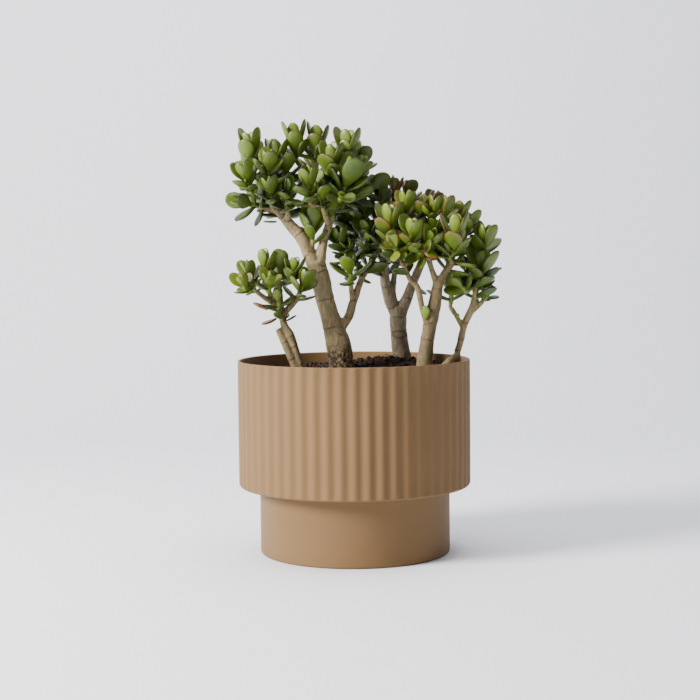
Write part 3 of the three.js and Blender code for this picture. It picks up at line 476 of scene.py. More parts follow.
def waxy_leaf():
    """Succulent leaf with a thin wax coat: satin gloss over soft green flesh that lets some
    light through, a dark red rim where the sun reaches it, and fine pale pores."""
    material = new_material("waxy_leaf")
    place = add_node(material, "ShaderNodeTexCoord").outputs["Object"]
    tone = add_node(material, "ShaderNodeAttribute", attribute_name="tone").outputs["Fac"]
    blush = add_node(material, "ShaderNodeAttribute", attribute_name="blush").outputs["Fac"]
    margin = add_node(material, "ShaderNodeAttribute", attribute_name="margin").outputs["Fac"]
    along = add_node(material, "ShaderNodeAttribute", attribute_name="along").outputs["Fac"]
    upper = add_node(material, "ShaderNodeAttribute", attribute_name="upper").outputs["Fac"]
    mottle = add_node(material, "ShaderNodeTexNoise", {
        "Vector": place, "Scale": 1 / (7 * MM), "Detail": 2.0})
    mottle_share = add_node(material, "ShaderNodeMapRange", {
        "Value": mottle.outputs["Fac"], "To Min": -0.22, "To Max": 0.22})
    yellowing = add_node(material, "ShaderNodeMath", {
        0: tone, 1: mottle_share.outputs[0]}, operation="ADD", use_clamp=True)
    flesh = add_node(material, "ShaderNodeMix", {
        0: yellowing.outputs[0], 6: linear("#1F3508"), 7: linear("#768C1E")},
        data_type="RGBA")
    # The back of a leaf is greyer and paler than its face.
    back_share = add_node(material, "ShaderNodeMapRange", {
        "Value": upper, "From Min": 0.6, "From Max": 0.4, "To Max": 0.3})
    backed = add_node(material, "ShaderNodeMix", {
        0: back_share.outputs[0], 6: flesh.outputs[2], 7: linear("#4E6428")},
        data_type="RGBA")
    stalk_share = add_node(material, "ShaderNodeMapRange", {
        "Value": along, "From Min": 0.32, "From Max": 0.05, "To Max": 0.55})
    stalked = add_node(material, "ShaderNodeMix", {
        0: stalk_share.outputs[0], 6: backed.outputs[2], 7: linear("#67762B")},
        data_type="RGBA")
    # Pores are about 0.2 mm wide and 0.8 mm apart, drawn a little larger so that they show.
    pores = add_node(material, "ShaderNodeTexVoronoi", {
        "Vector": place, "Scale": 1 / (0.95 * MM)})
    pore_share = add_node(material, "ShaderNodeMapRange", {
        "Value": pores.outputs["Distance"], "From Min": 0.3, "From Max": 0.12, "To Max": 0.16})
    pored = add_node(material, "ShaderNodeMix", {
        0: pore_share.outputs[0], 6: stalked.outputs[2], 7: linear("#7C8C48")},
        data_type="RGBA")
    flush_reach = add_node(material, "ShaderNodeMapRange", {
        "Value": margin, "From Min": 0.5, "From Max": 1.0})
    flush_share = add_node(material, "ShaderNodeMath", {
        0: flush_reach.outputs[0], 1: blush}, operation="MULTIPLY", use_clamp=True)
    flushed = add_node(material, "ShaderNodeMix", {
        0: flush_share.outputs[0], 6: pored.outputs[2], 7: linear("#84341A")},
        data_type="RGBA")
    rim_share = add_node(material, "ShaderNodeMapRange", {
        "Value": margin, "From Min": 0.9, "From Max": 0.985, "To Max": 0.8})
    rim = add_node(material, "ShaderNodeMix", {
        0: blush, 6: linear("#1E1C0E"), 7: linear("#4A1810")}, data_type="RGBA")
    colour = add_node(material, "ShaderNodeMix", {
        0: rim_share.outputs[0], 6: flushed.outputs[2], 7: rim.outputs[2]},
        data_type="RGBA")
    bump = add_node(material, "ShaderNodeBump", {
        "Height": mottle.outputs["Fac"], "Strength": 0.5, "Distance": 0.5 * MM})
    roughness = add_node(material, "ShaderNodeMapRange", {
        "Value": mottle.outputs["Fac"], "To Min": 0.32, "To Max": 0.46})
    return finish_material(material, {
        "Base Color": colour.outputs[2], "Roughness": roughness.outputs[0],
        "Specular IOR Level": 0.4, "Subsurface Weight": 0.12, "Subsurface Radius": (0.5, 1.0, 0.2),
        "Subsurface Scale": 2 * MM, "Normal": bump.outputs["Normal"]})


def painted_board():
    """Matt white painted board of a photographer's table."""
    material = new_material("painted_board")
    place = add_node(material, "ShaderNodeTexCoord").outputs["Object"]
    drift = add_node(material, "ShaderNodeTexNoise", {"Vector": place, "Scale": 1.5})
    colour = add_node(material, "ShaderNodeMix", {
        0: drift.outputs["Fac"], 6: linear("#EFF1F6"), 7: linear("#ECEEF4")},
        data_type="RGBA")
    return finish_material(material, {"Base Color": colour.outputs[2], "Roughness": 0.85})


# Mesh helpers

class Shape:
    """Points in millimetres, faces and named values at the points, gathered for one piece."""

    def __init__(self):
        self.points = []
        self.faces = []
        self.values = {}

    def add(self, points, faces, **values):
        start = len(self.points)
        self.points.extend(points)
        self.faces.extend([start + corner for corner in face] for face in faces)
        for name, numbers in values.items():
            self.values.setdefault(name, []).extend(numbers)

    def piece(self, name, material, slot, nodes):
        """Makes the piece, in metres, and lets it stand for the part's nodes."""
        mesh = bpy.data.meshes.new(name)
        mesh.from_pydata([tuple(c * MM for c in point) for point in self.points], [],
                         self.faces)
        for label, numbers in self.values.items():
            attribute = mesh.attributes.new(label, "FLOAT", "POINT")
            attribute.data.foreach_set("value", numbers)
        return finish_piece(name, mesh, material, nodes)


def finish_piece(name, mesh, material, nodes):
    mesh.materials.append(material)
    mesh.shade_smooth()
    made = bpy.data.objects.new(name, mesh)
    bpy.context.scene.collection.objects.link(made)
    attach(made, "root")
    if nodes:
        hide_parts(*nodes)
    return made


def ring_faces(rings, sides, closed_ends=True):
    """Faces of a tube whose rings of points come one after another."""
    faces = []
    for ring in range(rings - 1):
        low, high = ring * sides, (ring + 1) * sides
        for side in range(sides):
            after = (side + 1) % sides
            faces.append((low + side, low + after, high + after, high + side))
    if closed_ends:
        faces.append(tuple(reversed(range(sides))))
        faces.append(tuple(range((rings - 1) * sides, rings * sides)))
    return faces


def smooth_curve(points, steps):
    """Points and radii along a Catmull-Rom curve, the same curve as in the part's source."""
    knots = [np.array(point, float) for point in points]
    knots = [2 * knots[0] - knots[1], *knots, 2 * knots[-1] - knots[-2]]
    spans = len(points) - 1
    samples = []
    for step in range(steps + 1):
        place = spans * step / steps
        span = min(int(place), spans - 1)
        t = place - span
        a, b, c, d = knots[span:span + 4]
        samples.append(b + 0.5 * t * ((c - a) + t * ((2 * a - 5 * b + 4 * c - d)
                                                     + t * (3 * (b - c) + d - a))))
    return np.array(samples)


def tube(samples, sides):
    """Points and faces of a round tube through samples [x, y, z, radius]."""
    centres, radii = samples[:, :3], samples[:, 3]
    along = np.gradient(centres, axis=0)
    along /= np.linalg.norm(along, axis=1)[:, None]
    across = np.cross(along[0], (0.0, 1.0, 0.0))
    turns = np.linspace(0, 2 * math.pi, sides, endpoint=False)
    points = []
    for centre, radius, way in zip(centres, radii, along):
        across = across - across.dot(way) * way
        across /= np.linalg.norm(across)
        beside = np.cross(way, across)
        points.extend(centre + radius * (math.cos(t) * across + math.sin(t) * beside)
                      for t in turns)
    return points, ring_faces(len(centres), sides)


def drawer(seed):
    """A repeatable source of draws between -1 and 1, the same as in the part's source."""
    state = seed * 2654435 + 12345

    def draw():
        nonlocal state
        state = (state * 1664525 + 1013904223) % 4294967296
        return state / 2147483648 - 1
    return draw


# The pot

def arc(centre, radius, start, end, steps):
    """Points (radius, height) of a rounded corner, from one angle to another in degrees."""
    angles = [math.radians(start + (end - start) * i / steps) for i in range(steps + 1)]
    return [(centre[0] + radius * math.cos(a), centre[1] + radius * math.sin(a))
            for a in angles]


def make_pot(material):
    floor_edge = arc((FOOT_RADIUS - FOOT_BEVEL, FOOT_BEVEL), FOOT_BEVEL, -90, 0, 6)
    drum_edge = arc((DRUM_RADIUS - DRUM_BEVEL, DRUM_BOTTOM + DRUM_BEVEL), DRUM_BEVEL,
                    -90, 0, 8)
    wall_rows = 6
    wall_low = DRUM_BOTTOM + DRUM_BEVEL
    wall_high = POT_HEIGHT - RIM_ROUND
    wall = [(DRUM_RADIUS, wall_low + (wall_high - wall_low) * row / wall_rows)
            for row in range(1, wall_rows)]
    rim = arc((DRUM_RADIUS - RIM_ROUND, wall_high), RIM_ROUND, 0, 90, 5)
    lip = arc((INNER_RADIUS + RIM_ROUND, wall_high), RIM_ROUND, 90, 180, 5)
    ledge = DRUM_BOTTOM + WALL
    outside = [*((radius, 0.0) for radius in FLOOR_RINGS), *floor_edge,
               (FOOT_RADIUS, DRUM_BOTTOM - COVE),
               (FOOT_RADIUS + COVE / 3, DRUM_BOTTOM - COVE / 3),
               (FOOT_RADIUS + COVE, DRUM_BOTTOM), (OVERHANG_RING, DRUM_BOTTOM),
               *drum_edge, *wall, *rim]
    inside = [*lip, (INNER_RADIUS, INSIDE_RING_HEIGHT), (INNER_RADIUS, ledge + INSIDE_FILLET),
              (INNER_RADIUS - INSIDE_FILLET, ledge), (FOOT_INNER_RADIUS, ledge),
              (FOOT_INNER_RADIUS, WALL), (FLOOR_RINGS[0], WALL)]
    sides = RIB_COUNT * POINTS_A_RIB
    points = []
    for row, (radius, height) in enumerate(outside + inside):
        # The ribs die out down the bevel under the drum and over the rim.
        ribbed = row < len(outside) and radius > DRUM_RADIUS - DRUM_BEVEL
        depth = RIB_DEPTH if ribbed else 0.0
        if ribbed and height < wall_low:
            depth *= (height - DRUM_BOTTOM) / DRUM_BEVEL
        if ribbed and height > wall_high:
            depth *= max(0.0, 1 - (height - wall_high) / RIM_ROUND)
        for side in range(sides):
            turn = 2 * math.pi * side / sides
            reach = radius - depth * (0.5 - 0.5 * math.cos(RIB_COUNT * turn))
            points.append((reach * math.cos(turn), reach * math.sin(turn), height))
    shape = Shape()
    shape.add(points, ring_faces(len(outside + inside), sides))
    shape.piece("ribbed_pot", material, "pot_coating", ["pot"])


# The soil

def soil_height(x, y):
    away = math.hypot(x - SOIL_MOUND_PLACE[0], y - SOIL_MOUND_PLACE[1])
    mound = SOIL_MOUND * math.exp(-((away / SOIL_MOUND_SPREAD) ** 2))
    wave = (math.sin(x / LONG_WAVE[0] + 1) * math.cos(y / LONG_WAVE[1])
            + 0.5 * math.sin(x / SHORT_WAVE[0] + y / SHORT_WAVE[1]))
    rough = (noise.noise(Vector((x, y, 0)) / CLOD_SIZE)
             + 0.5 * noise.noise(Vector((x, y, 9)) / GRAIN_SIZE))
    return SOIL_LEVEL + mound + SOIL_WAVE * wave + rough


def make_soil(material):
    sides, rings = 180, 64
    centre_reach = 2.0
    reach = INNER_RADIUS - FIT_GAP
    low_reach = FOOT_INNER_RADIUS - FIT_GAP
    shoulder = DRUM_BOTTOM + WALL + FIT_GAP
    rows = [[(radius * math.cos(t), radius * math.sin(t), height)
             for t in np.linspace(0, 2 * math.pi, sides, endpoint=False)]
            for radius, height in ((centre_reach, WALL + FIT_GAP), (low_reach, WALL + FIT_GAP),
                                   (low_reach, shoulder), (reach, shoulder))]
    for ring in range(rings, 0, -1):
        row = []
        for turn in np.linspace(0, 2 * math.pi, sides, endpoint=False):
            x = reach * ring / rings * math.cos(turn)
            y = reach * ring / rings * math.sin(turn)
            row.append((x, y, soil_height(x, y)))
        rows.append(row)
    shape = Shape()
    shape.add([point for row in rows for point in row], ring_faces(len(rows), sides))
    shape.piece("peat", material, "potting_soil", ["soil"])


# A crumb is a solid of twenty triangles, whose corners are then pushed in and out.
GOLDEN = (1 + math.sqrt(5)) / 2
CRUMB_POINTS = [(-1, GOLDEN, 0), (1, GOLDEN, 0), (-1, -GOLDEN, 0), (1, -GOLDEN, 0),
                (0, -1, GOLDEN), (0, 1, GOLDEN), (0, -1, -GOLDEN), (0, 1, -GOLDEN),
                (GOLDEN, 0, -1), (GOLDEN, 0, 1), (-GOLDEN, 0, -1), (-GOLDEN, 0, 1)]
CRUMB_FACES = [(0, 11, 5), (0, 5, 1), (0, 1, 7), (0, 7, 10), (0, 10, 11), (1, 5, 9),
               (5, 11, 4), (11, 10, 2), (10, 7, 6), (7, 1, 8), (3, 9, 4), (3, 4, 2),
               (3, 2, 6), (3, 6, 8), (3, 8, 9), (4, 9, 5), (2, 4, 11), (6, 2, 10),
               (8, 6, 7), (9, 8, 1)]
CRUMB_SEED = 501
CRUMB_COUNT = 2600
CRUMB_SMALLEST = 0.3
CRUMB_LARGEST = 1.9
CRUMB_FROM_WALL = 4.0
ROOTLET_COUNT = 60
ROOTLET_FROM_WALL = 14.0
ROOTLET_STEP = 4.0
ROOTLET_RADIUS = 0.35


def spot_on_soil(draw, from_wall):
    turn = math.pi * draw()
    away = (INNER_RADIUS - from_wall) * math.sqrt(abs(draw()))
    return away * math.cos(turn), away * math.sin(turn)


def make_crumbs(material):
    """Loose crumbs and dead rootlets that lie on the peat."""
    shape = Shape()
    draw = drawer(CRUMB_SEED)
    for _ in range(CRUMB_COUNT):
        x, y = spot_on_soil(draw, CRUMB_FROM_WALL)
        # Most crumbs are small.
        size = CRUMB_SMALLEST + (CRUMB_LARGEST - CRUMB_SMALLEST) * abs(draw()) ** 3
        centre = np.array((x, y, soil_height(x, y) + 0.3 * size))
        shape.add([centre + np.array(p) / GOLDEN * size * (1 + 0.5 * draw())
                   for p in CRUMB_POINTS], CRUMB_FACES)
    for _ in range(ROOTLET_COUNT):
        x, y = spot_on_soil(draw, ROOTLET_FROM_WALL)
        heading = math.pi * draw()
        knots = []
        for step in range(4):
            lift = 1.0 + abs(2.4 * draw())
            knots.append((x, y, soil_height(x, y) + lift, ROOTLET_RADIUS - 0.05 * step))
            heading += 0.7 * draw()
            x += ROOTLET_STEP * math.cos(heading)
            y += ROOTLET_STEP * math.sin(heading)
        points, faces = tube(smooth_curve(knots, 9), 5)
        shape.add(points, faces)
    shape.piece("soil_crumbs", material, "potting_soil", [])


# The wood

WOOD_SEED = 900
LIMB_STEP = 1.5
LIMB_SIDES = 20
# Wood thinner than the first radius shows some of this year's green, and most at the second.
YOUNG_RADII = (5.0, 1.5)
YOUNG_SHARE = 0.45
# Leaf-scar rings where none is listed: the first one's place, the room at the limb's end, and
# the distance between two, which grows with the limb's radius.
FIRST_RING = 5.0
FIRST_RING_VARIES = 4.0
RING_FREE_END = 3.0
RING_SPACING = 8.0
RING_SPACING_A_RADIUS = 2.2
RING_SPACING_VARIES = 0.4


class Limb:
    """A woody stretch: samples [x, y, z, radius] on its centre line, the length run at each,
    how young the wood is and where its leaf-scar rings are."""

    def __init__(self, points, draw, young=0.0, rings=()):
        length = sum(math.dist(a[:3], b[:3]) for a, b in zip(points, points[1:]))
        self.samples = smooth_curve(points, max(8, int(length / LIMB_STEP)))
        steps = np.linalg.norm(np.diff(self.samples[:, :3], axis=0), axis=1)
        self.run = np.concatenate([[0], np.cumsum(steps)])
        thin = np.clip((YOUNG_RADII[0] - self.samples[:, 3]) / (YOUNG_RADII[0] - YOUNG_RADII[1]),
                       0, 1)
        toward_tip = np.linspace(0, 1, len(self.run))
        self.youth = np.clip(YOUNG_SHARE * thin + young * toward_tip, 0, 1)
        self.rings = [self.run[np.argmin(abs(self.samples[:, 2] - z))] for z in rings]
        if not rings:
            place = FIRST_RING + FIRST_RING_VARIES * draw()
            while place < self.run[-1] - RING_FREE_END:
                self.rings.append(place)
                radius = np.interp(place, self.run, self.samples[:, 3])
                spacing = RING_SPACING_A_RADIUS * radius + RING_SPACING
                place += spacing * (1 + RING_SPACING_VARIES * draw())


# Heights of the rings that the photograph shows on the trunks.
SEEN_RINGS = {
    "main_trunk": (224, 252, 279),
    "front_trunk": (213, 240, 263),
    "middle_trunk": (217, 232),
    "main_left": (297, 316, 333),
}
RING_WIDTH = 1.3
RING_HEIGHT = 0.3
RING_WOBBLE = 0.9
GROOVE_BELOW_RING = 1.4
GROOVE_WIDTH = 0.55
GROOVE_DEPTH = 0.5
LUMP_HEIGHT = 0.6
LUMP_SIZE = 9.0
WRINKLE_HEIGHT = 0.16
WRINKLE_SIZE = (1.6, 1.6, 6.0)
CRUST_HEIGHT = 0.9
CRUST_SIZE = 2.6
# The bark's relief is full on limbs of this radius and more.
FULL_RELIEF_RADIUS = 7.0
WOOD_VOXEL = 0.85
# A healed branch scar shaped like an eye: its middle on the trunk's face, and its half width
# and half height.
EYE_SCAR_PLACE = (47, 41, 213)
EYE_SCAR_SIZE = (6.5, 3.4)
EARTHY_BELOW = 212.0
EARTHY_REACH = 16.0
# How dark the earth at its foot is on each stem, and how much painted shade darkens its bark, from
# 0 to 1.
STEM_MARKS = {
    "stem_main": (1.0, 0.0),
    "stem_small": (0.2, 0.8),
    "stem_middle": (0.35, 0.0),
    "stem_front": (0.15, 1.0),
    "stem_edge": (0.3, 0.1),
}


def buried(points):
    """The limb with its stretch in the soil added before its first point."""
    start, after = np.array(points[0]), np.array(points[1])
    way = start[:3] - after[:3]
    end = start[:3] + way / np.linalg.norm(way) * BURIED_LENGTH
    return [(*end, points[0][3]), *points]


def radius_on_limb(name, share):
    points = LIMBS[name]
    place = share * (len(points) - 1)
    before = min(int(place), len(points) - 2)
    return points[before][3] + (points[before + 1][3] - points[before][3]) * (place - before)


class Shoot:
    """A row of the table of shoots, with its axis as a unit direction."""

    def __init__(self, index, row):
        self.name, self.carrier, place, pointing, self.pairs, self.length, *turns = row
        self.index = index
        self.turn, self.lean = turns
        self.base = np.array(place, float)
        self.axis = np.array(pointing, float) / np.linalg.norm(pointing)


shoots = [Shoot(index, row) for index, row in enumerate(SHOOTS)]
shoot_named = {shoot.name: shoot for shoot in shoots}


def twig_points(shoot):
    """The twig from the nearest place on its limb, by an elbow, to the shoot's green tip."""
    host = shoot_named.get(shoot.carrier)
    foot = (*shoot.base, TWIG_TIP_RADIUS)
    if host:
        return [(*(host.base + host.axis * FORK_HEIGHT), TWIG_TIP_RADIUS), foot]
    below = shoot.base - shoot.axis * TWIG_BELOW_TIP - np.array((0, 0, TWIG_RISE))
    curve = smooth_curve(LIMBS[shoot.carrier], TWIG_PLACES)[:, :3]
    nearest = int(np.argmin(np.linalg.norm(curve - below, axis=1)))
    thick = min(radius_on_limb(shoot.carrier, nearest / TWIG_PLACES) * TWIG_SHARE_OF_LIMB,
                TWIG_ROOT_RADIUS)
    elbow = shoot.base - shoot.axis * ELBOW_BELOW_TIP
    return [(*curve[nearest], thick), (*elbow, (thick + TWIG_TIP_RADIUS) / 2), foot]


def fused_wood(name, limbs):
    """One skin over the limbs, softened where they meet."""
    shape = Shape()
    for limb in limbs:
        points, faces = tube(limb.samples, LIMB_SIDES)
        shape.add(points, faces)
    mesh = bpy.data.meshes.new(name)
    mesh.from_pydata([tuple(c * MM for c in point) for point in shape.points], [],
                     shape.faces)
    rough = bpy.data.objects.new(name, mesh)
    bpy.context.scene.collection.objects.link(rough)
    fuse = rough.modifiers.new("fuse", "REMESH")
    fuse.mode = "VOXEL"
    fuse.voxel_size = WOOD_VOXEL * MM
    soften = rough.modifiers.new("soften", "SMOOTH")
    soften.factor = 0.5
    soften.iterations = 7
    graph = bpy.context.evaluated_depsgraph_get()
    skin = bpy.data.meshes.new_from_object(rough.evaluated_get(graph))
    bpy.data.objects.remove(rough)
    bpy.data.meshes.remove(mesh)
    return skin


def carve_bark(skin, limbs, earthy, painted_stem_shade):
    """Raises leaf-scar rings, lumps and wrinkles on the wood and notes what its bark is."""
    tree = kdtree.KDTree(sum(len(limb.samples) for limb in limbs))
    places = [(limb, i) for limb in limbs for i in range(len(limb.samples))]
    for number, (limb, i) in enumerate(places):
        tree.insert(limb.samples[i, :3], number)
    tree.balance()
    moved, youth, scar, earth = [], [], [], []
    for vertex in skin.vertices:
        point = vertex.co / MM
        limb, i = places[tree.find(point)[1]]
        way = (limb.samples[min(i + 1, len(limb.samples) - 1), :3]
               - limb.samples[max(i - 1, 0), :3])
        way = way / np.linalg.norm(way)
        run = limb.run[i] + float(np.dot(np.array(point) - limb.samples[i, :3], way))
        run += RING_WOBBLE * noise.noise(point / 5)
        to_ring = min((abs(run - ring) for ring in limb.rings), default=math.inf)
        to_groove = min((abs(run - ring + GROOVE_BELOW_RING) for ring in limb.rings),
                        default=math.inf)
        soiled = earthy * min(max((EARTHY_BELOW - point.z) / EARTHY_REACH, 0), 1)
        wrinkled = Vector(c / size for c, size in zip(point, WRINKLE_SIZE))
        lift = (RING_HEIGHT * math.exp(-((to_ring / RING_WIDTH) ** 2))
                - GROOVE_DEPTH * math.exp(-((to_groove / GROOVE_WIDTH) ** 2))
                + LUMP_HEIGHT * noise.noise(point / LUMP_SIZE)
                + WRINKLE_HEIGHT * noise.noise(wrinkled)
                + CRUST_HEIGHT * soiled * noise.noise(point / CRUST_SIZE))
        lift *= min(1.0, limb.samples[i, 3] / FULL_RELIEF_RADIUS)
        moved.append(vertex.co + vertex.normal * lift * MM)
        youth.append(limb.youth[i])
        # A ring is worn away in places.
        worn = min(max(0.7 + 0.9 * noise.noise(point / 7 + Vector((9, 0, 0))), 0.1), 0.9)
        eye = math.hypot((point.x - EYE_SCAR_PLACE[0]) / EYE_SCAR_SIZE[0],
                         (point.z - EYE_SCAR_PLACE[2]) / EYE_SCAR_SIZE[1])
        near_eye = abs(point.y - EYE_SCAR_PLACE[1]) < EYE_SCAR_SIZE[0]
        lid = math.exp(-(((eye - 1) / 0.28) ** 2)) + 0.5 * math.exp(-((eye / 0.4) ** 2))
        scar.append(max(worn * math.exp(-((to_groove / (1.3 * GROOVE_WIDTH)) ** 2)),
                        0.85 * near_eye * min(lid, 1)))
        earth.append(soiled)
    skin.vertices.foreach_set("co", [c for point in moved for c in point])
    # The share of painted shade on this stem's bark, the same at every point.
    weather = [painted_stem_shade] * len(moved)
    for label, numbers in (("youth", youth), ("scar", scar), ("earth", earth),
                           ("weather", weather)):
        attribute = skin.attributes.new(label, "FLOAT", "POINT")
        attribute.data.foreach_set("value", numbers)


def make_wood(bark, shaded_bark):
    for number, (stem, names) in enumerate(STEMS.items()):
        draw = drawer(WOOD_SEED + number)
        limbs = []
        for name in names:
            points = LIMBS[name]
            if points[0][2] < SOIL_ENTRY_HEIGHT:
                points = buried(points)
            limbs.append(Limb(points, draw, rings=SEEN_RINGS.get(name, ())))
        for shoot in shoots:
            if shoot.carrier in names:
                limbs.append(Limb(twig_points(shoot), draw, young=0.8))
        skin = fused_wood(stem, limbs)
        carve_bark(skin, limbs, *STEM_MARKS[stem])
        # The middle stem's bark is a darker copy of the same bark: painted shade.
        shaded = stem == "stem_middle"
        finish_piece(f"bark_{stem}", skin, shaded_bark if shaded else bark,
                     [stem])


# The leaves

LEAF_ROWS = 15
LEAF_SIDES = 14
LEAF_STARTS_AT = 0.04
EDGE_BLUNTNESS = 0.8
ROUND_END_FROM = 0.8
FULL_LEAF_LENGTH = 22.0
# The green tip is round here, where the part's solid has four sides.
TIP_IN_TWIG = 0.6
TIP_ABOVE_LAST_PAIR = 1.5
TIP_ROOT_RADIUS = 2.2
TIP_RADIUS = 2.5
TIP_END_RADIUS = 1.6
# The youngest pair's length as a share of the shoot's longest leaf, and its form.
HEART_SHARE = 0.34
HEART_FORM = {"lean": 9, "slim": 0.9, "bend": 0.5, "cup": 0.3}
COLOUR_SEED = 2000
OLD_LEAF_SEED = 5000
LIMB_LEAF_SEED = 7001


def outward_from(axis, turn):
    """The direction square to an axis at a turn in degrees."""
    right = np.cross(axis, (0.0, 1.0, 0.0))
    right /= np.linalg.norm(right)
    back = np.cross(axis, right)
    angle = math.radians(turn)
    return right * math.cos(angle) + back * math.sin(angle)


def half_width(share):
    if share > WIDEST_AT:
        return math.sqrt(max(0, 1 - ((share - WIDEST_AT) / (1 - WIDEST_AT)) ** 2))
    rise = math.sin(0.5 * math.pi * max(share, 0) / WIDEST_AT) ** 2
    return STALK_SHARE + (1 - STALK_SHARE) * rise


class Leaf:
    def __init__(self, root, axis, outward, lean, length, slim, bend, cup):
        self.root = root
        self.length = length
        self.slim = slim
        self.bend = bend
        self.cup = cup
        tilt = math.radians(lean) + bend / 2
        self.forward = axis * math.cos(tilt) + outward * math.sin(tilt)
        self.inward = axis * math.sin(tilt) - outward * math.cos(tilt)
        self.beside = np.cross(axis, outward)
        self.half = length * slim * WIDTH_TO_LENGTH / 2

    def at(self, share, side, lift=0.0):
        """A point at a share of the length, a share of the half width, and a height over
        the leaf's middle sheet."""
        half = self.half * half_width(share)
        rise = 0.5 * self.bend * share * share * self.length + self.cup * side * side * half
        slope = self.bend * share
        return (self.root + self.forward * (share * self.length - lift * math.sin(slope))
                + self.beside * side * half
                + self.inward * (rise + lift * math.cos(slope)))

    def corners(self):
        return [self.at(LOW_CORNER, 1), self.at(LOW_CORNER, -1), self.at(HIGH_CORNER, 1),
                self.at(HIGH_CORNER, -1), self.at(1, 0)]


def thickness(share, leaf):
    """A fleshy leaf: thickest at its middle, round at its end, and thinner if it is short."""
    body = LEAF_THICKNESS * (0.82 + 0.3 * math.sin(math.pi * min(share / 0.9, 1)))
    close = max(0.0, (share - ROUND_END_FROM) / (1 - ROUND_END_FROM))
    fullness = min(leaf.length / FULL_LEAF_LENGTH, 1.1)
    return body * fullness * math.sqrt(max(0.0, 1 - close ** 2.2))


def leaf_mesh(leaf, tone, blush):
    """Points, faces and values of one leaf, from its stalk to its round end."""
    points, values = [], {"margin": [], "along": [], "upper": []}
    shares = [LEAF_STARTS_AT
              + (1 - LEAF_STARTS_AT) * math.sin(0.5 * math.pi * row / LEAF_ROWS) ** 0.9
              for row in range(LEAF_ROWS)]
    for share in shares:
        thick = thickness(share, leaf)
        for corner in range(LEAF_SIDES):
            turn = 2 * math.pi * corner / LEAF_SIDES
            cosine, sine = math.cos(turn), math.sin(turn)
            side = math.copysign(abs(cosine) ** EDGE_BLUNTNESS, cosine)
            lift = 0.5 * thick * math.copysign(abs(sine) ** 0.9, sine)
            points.append(leaf.at(share, side, lift))
            beyond = max(0.0, (share - WIDEST_AT) / (1 - WIDEST_AT))
            values["margin"].append(
                math.sqrt(beyond ** 2 + (side * half_width(share)) ** 2)
                if share > WIDEST_AT else abs(side))
            values["along"].append(share)
            values["upper"].append(0.5 + 0.5 * sine)
    points.append(leaf.at(1, 0))
    values["margin"].append(1.0)
    values["along"].append(1.0)
    values["upper"].append(0.5)
    faces = ring_faces(LEAF_ROWS, LEAF_SIDES, closed_ends=False)
    faces.append(tuple(reversed(range(LEAF_SIDES))))
    last, tip = (LEAF_ROWS - 1) * LEAF_SIDES, LEAF_ROWS * LEAF_SIDES
    faces.extend((last + side, last + (side + 1) % LEAF_SIDES, tip)
                 for side in range(LEAF_SIDES))
    values["tone"] = [tone] * len(points)
    values["blush"] = [blush] * len(points)
    return points, faces, values


# Changes tried in turn in the part's source, (turn, lean, size), for a leaf that would cross
# another spray.
BENDS = [(0, 0, 1), (14, 0, 1), (-14, 0, 1), (0, -12, 1), (12, -10, 1), (-12, -10, 1),
         (27, 0, 0.95), (-27, 0, 0.95), (0, -22, 0.9), (0, 10, 0.9), (0, 0, 0.8),
         (20, -12, 0.8), (-20, -12, 0.8), (0, -20, 0.7), (30, -20, 0.7), (-30, -20, 0.7)]


def pair_heights(shoot):
    heights = []
    height = FIRST_PAIR_HEIGHT
    internode = FIRST_INTERNODE * shoot.length / USUAL_LENGTH
    for _ in range(shoot.pairs):
        heights.append(height)
        height += internode
        internode *= INTERNODE_SHRINK
    return heights


def leaf_choices(shoot):
    """For each leaf of the shoot, (share up the shoot, the leaf bent in each way tried)."""
    draw = drawer(shoot.index + 1)
    right = np.array((1.0, 0, 0))
    right -= right.dot(shoot.axis) * shoot.axis
    right /= np.linalg.norm(right)
    back = np.cross(shoot.axis, right)
    choices = []
    for pair, height in enumerate(pair_heights(shoot)):
        share = pair / (shoot.pairs - 1) if shoot.pairs > 1 else 0
        lean = shoot.lean + (INNER_SPREAD - shoot.lean) * share ** SPREAD_POWER
        size = (SIZE_ALONG_SHOOT[0] + SIZE_ALONG_SHOOT[1] * share
                + SIZE_ALONG_SHOOT[2] * share * share)
        for side in (0, 180):
            turn = shoot.turn + 90 * pair + side + TURN_VARIES * draw()
            leaning = lean + LEAN_VARIES * draw()
            length = shoot.length * size * (1 + SIZE_VARIES * draw())
            slim = 1 - INNER_SLIMMING * share + SIZE_VARIES * draw()
            bend = LEAF_BEND + BEND_VARIES * draw()
            cup = LEAF_CUP + CUP_VARIES * draw()
            tries = []
            for more_turn, more_lean, scale in BENDS:
                angle = math.radians(turn + more_turn)
                outward = right * math.cos(angle) + back * math.sin(angle)
                tries.append(Leaf(shoot.base + shoot.axis * height, shoot.axis, outward,
                                  leaning + more_lean, length * scale, slim, bend, cup))
            choices.append((share, tries))
    return choices


def corner_tree(node):
    """The part's own corners in a node, for finding which way each leaf was bent."""
    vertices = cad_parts[node].data.vertices
    tree = kdtree.KDTree(len(vertices))
    for number, vertex in enumerate(vertices):
        tree.insert(vertex.co / MM, number)
    tree.balance()
    return tree


def bent_leaf(tries, tree):
    """The try whose corners the part's solid has, or None where the leaf was left out."""
    def found(leaf):
        return sum(tree.find(corner)[2] < CORNER_TOLERANCE for corner in leaf.corners())
    best = max(tries, key=found)
    return best if found(best) > 0 else None


def crown_of(shoot):
    return next(name for name in CROWN_TONES if shoot.name.startswith(name))


def leaf_tones(shoot):
    """The crown's tone and blush, darker and greener under other shoots."""
    tone, blush = CROWN_TONES[crown_of(shoot)]
    over = 0
    for other in shoots:
        away = other.base - shoot.base
        over += SHADE_RISE < away[2] and math.hypot(away[0], away[1]) < SHADE_REACH
    shade = min(over / FULL_SHADE, 1)
    return tone - SHADE_DARKENS * shade, blush * (1 - SHADE_HIDES_BLUSH * shade)


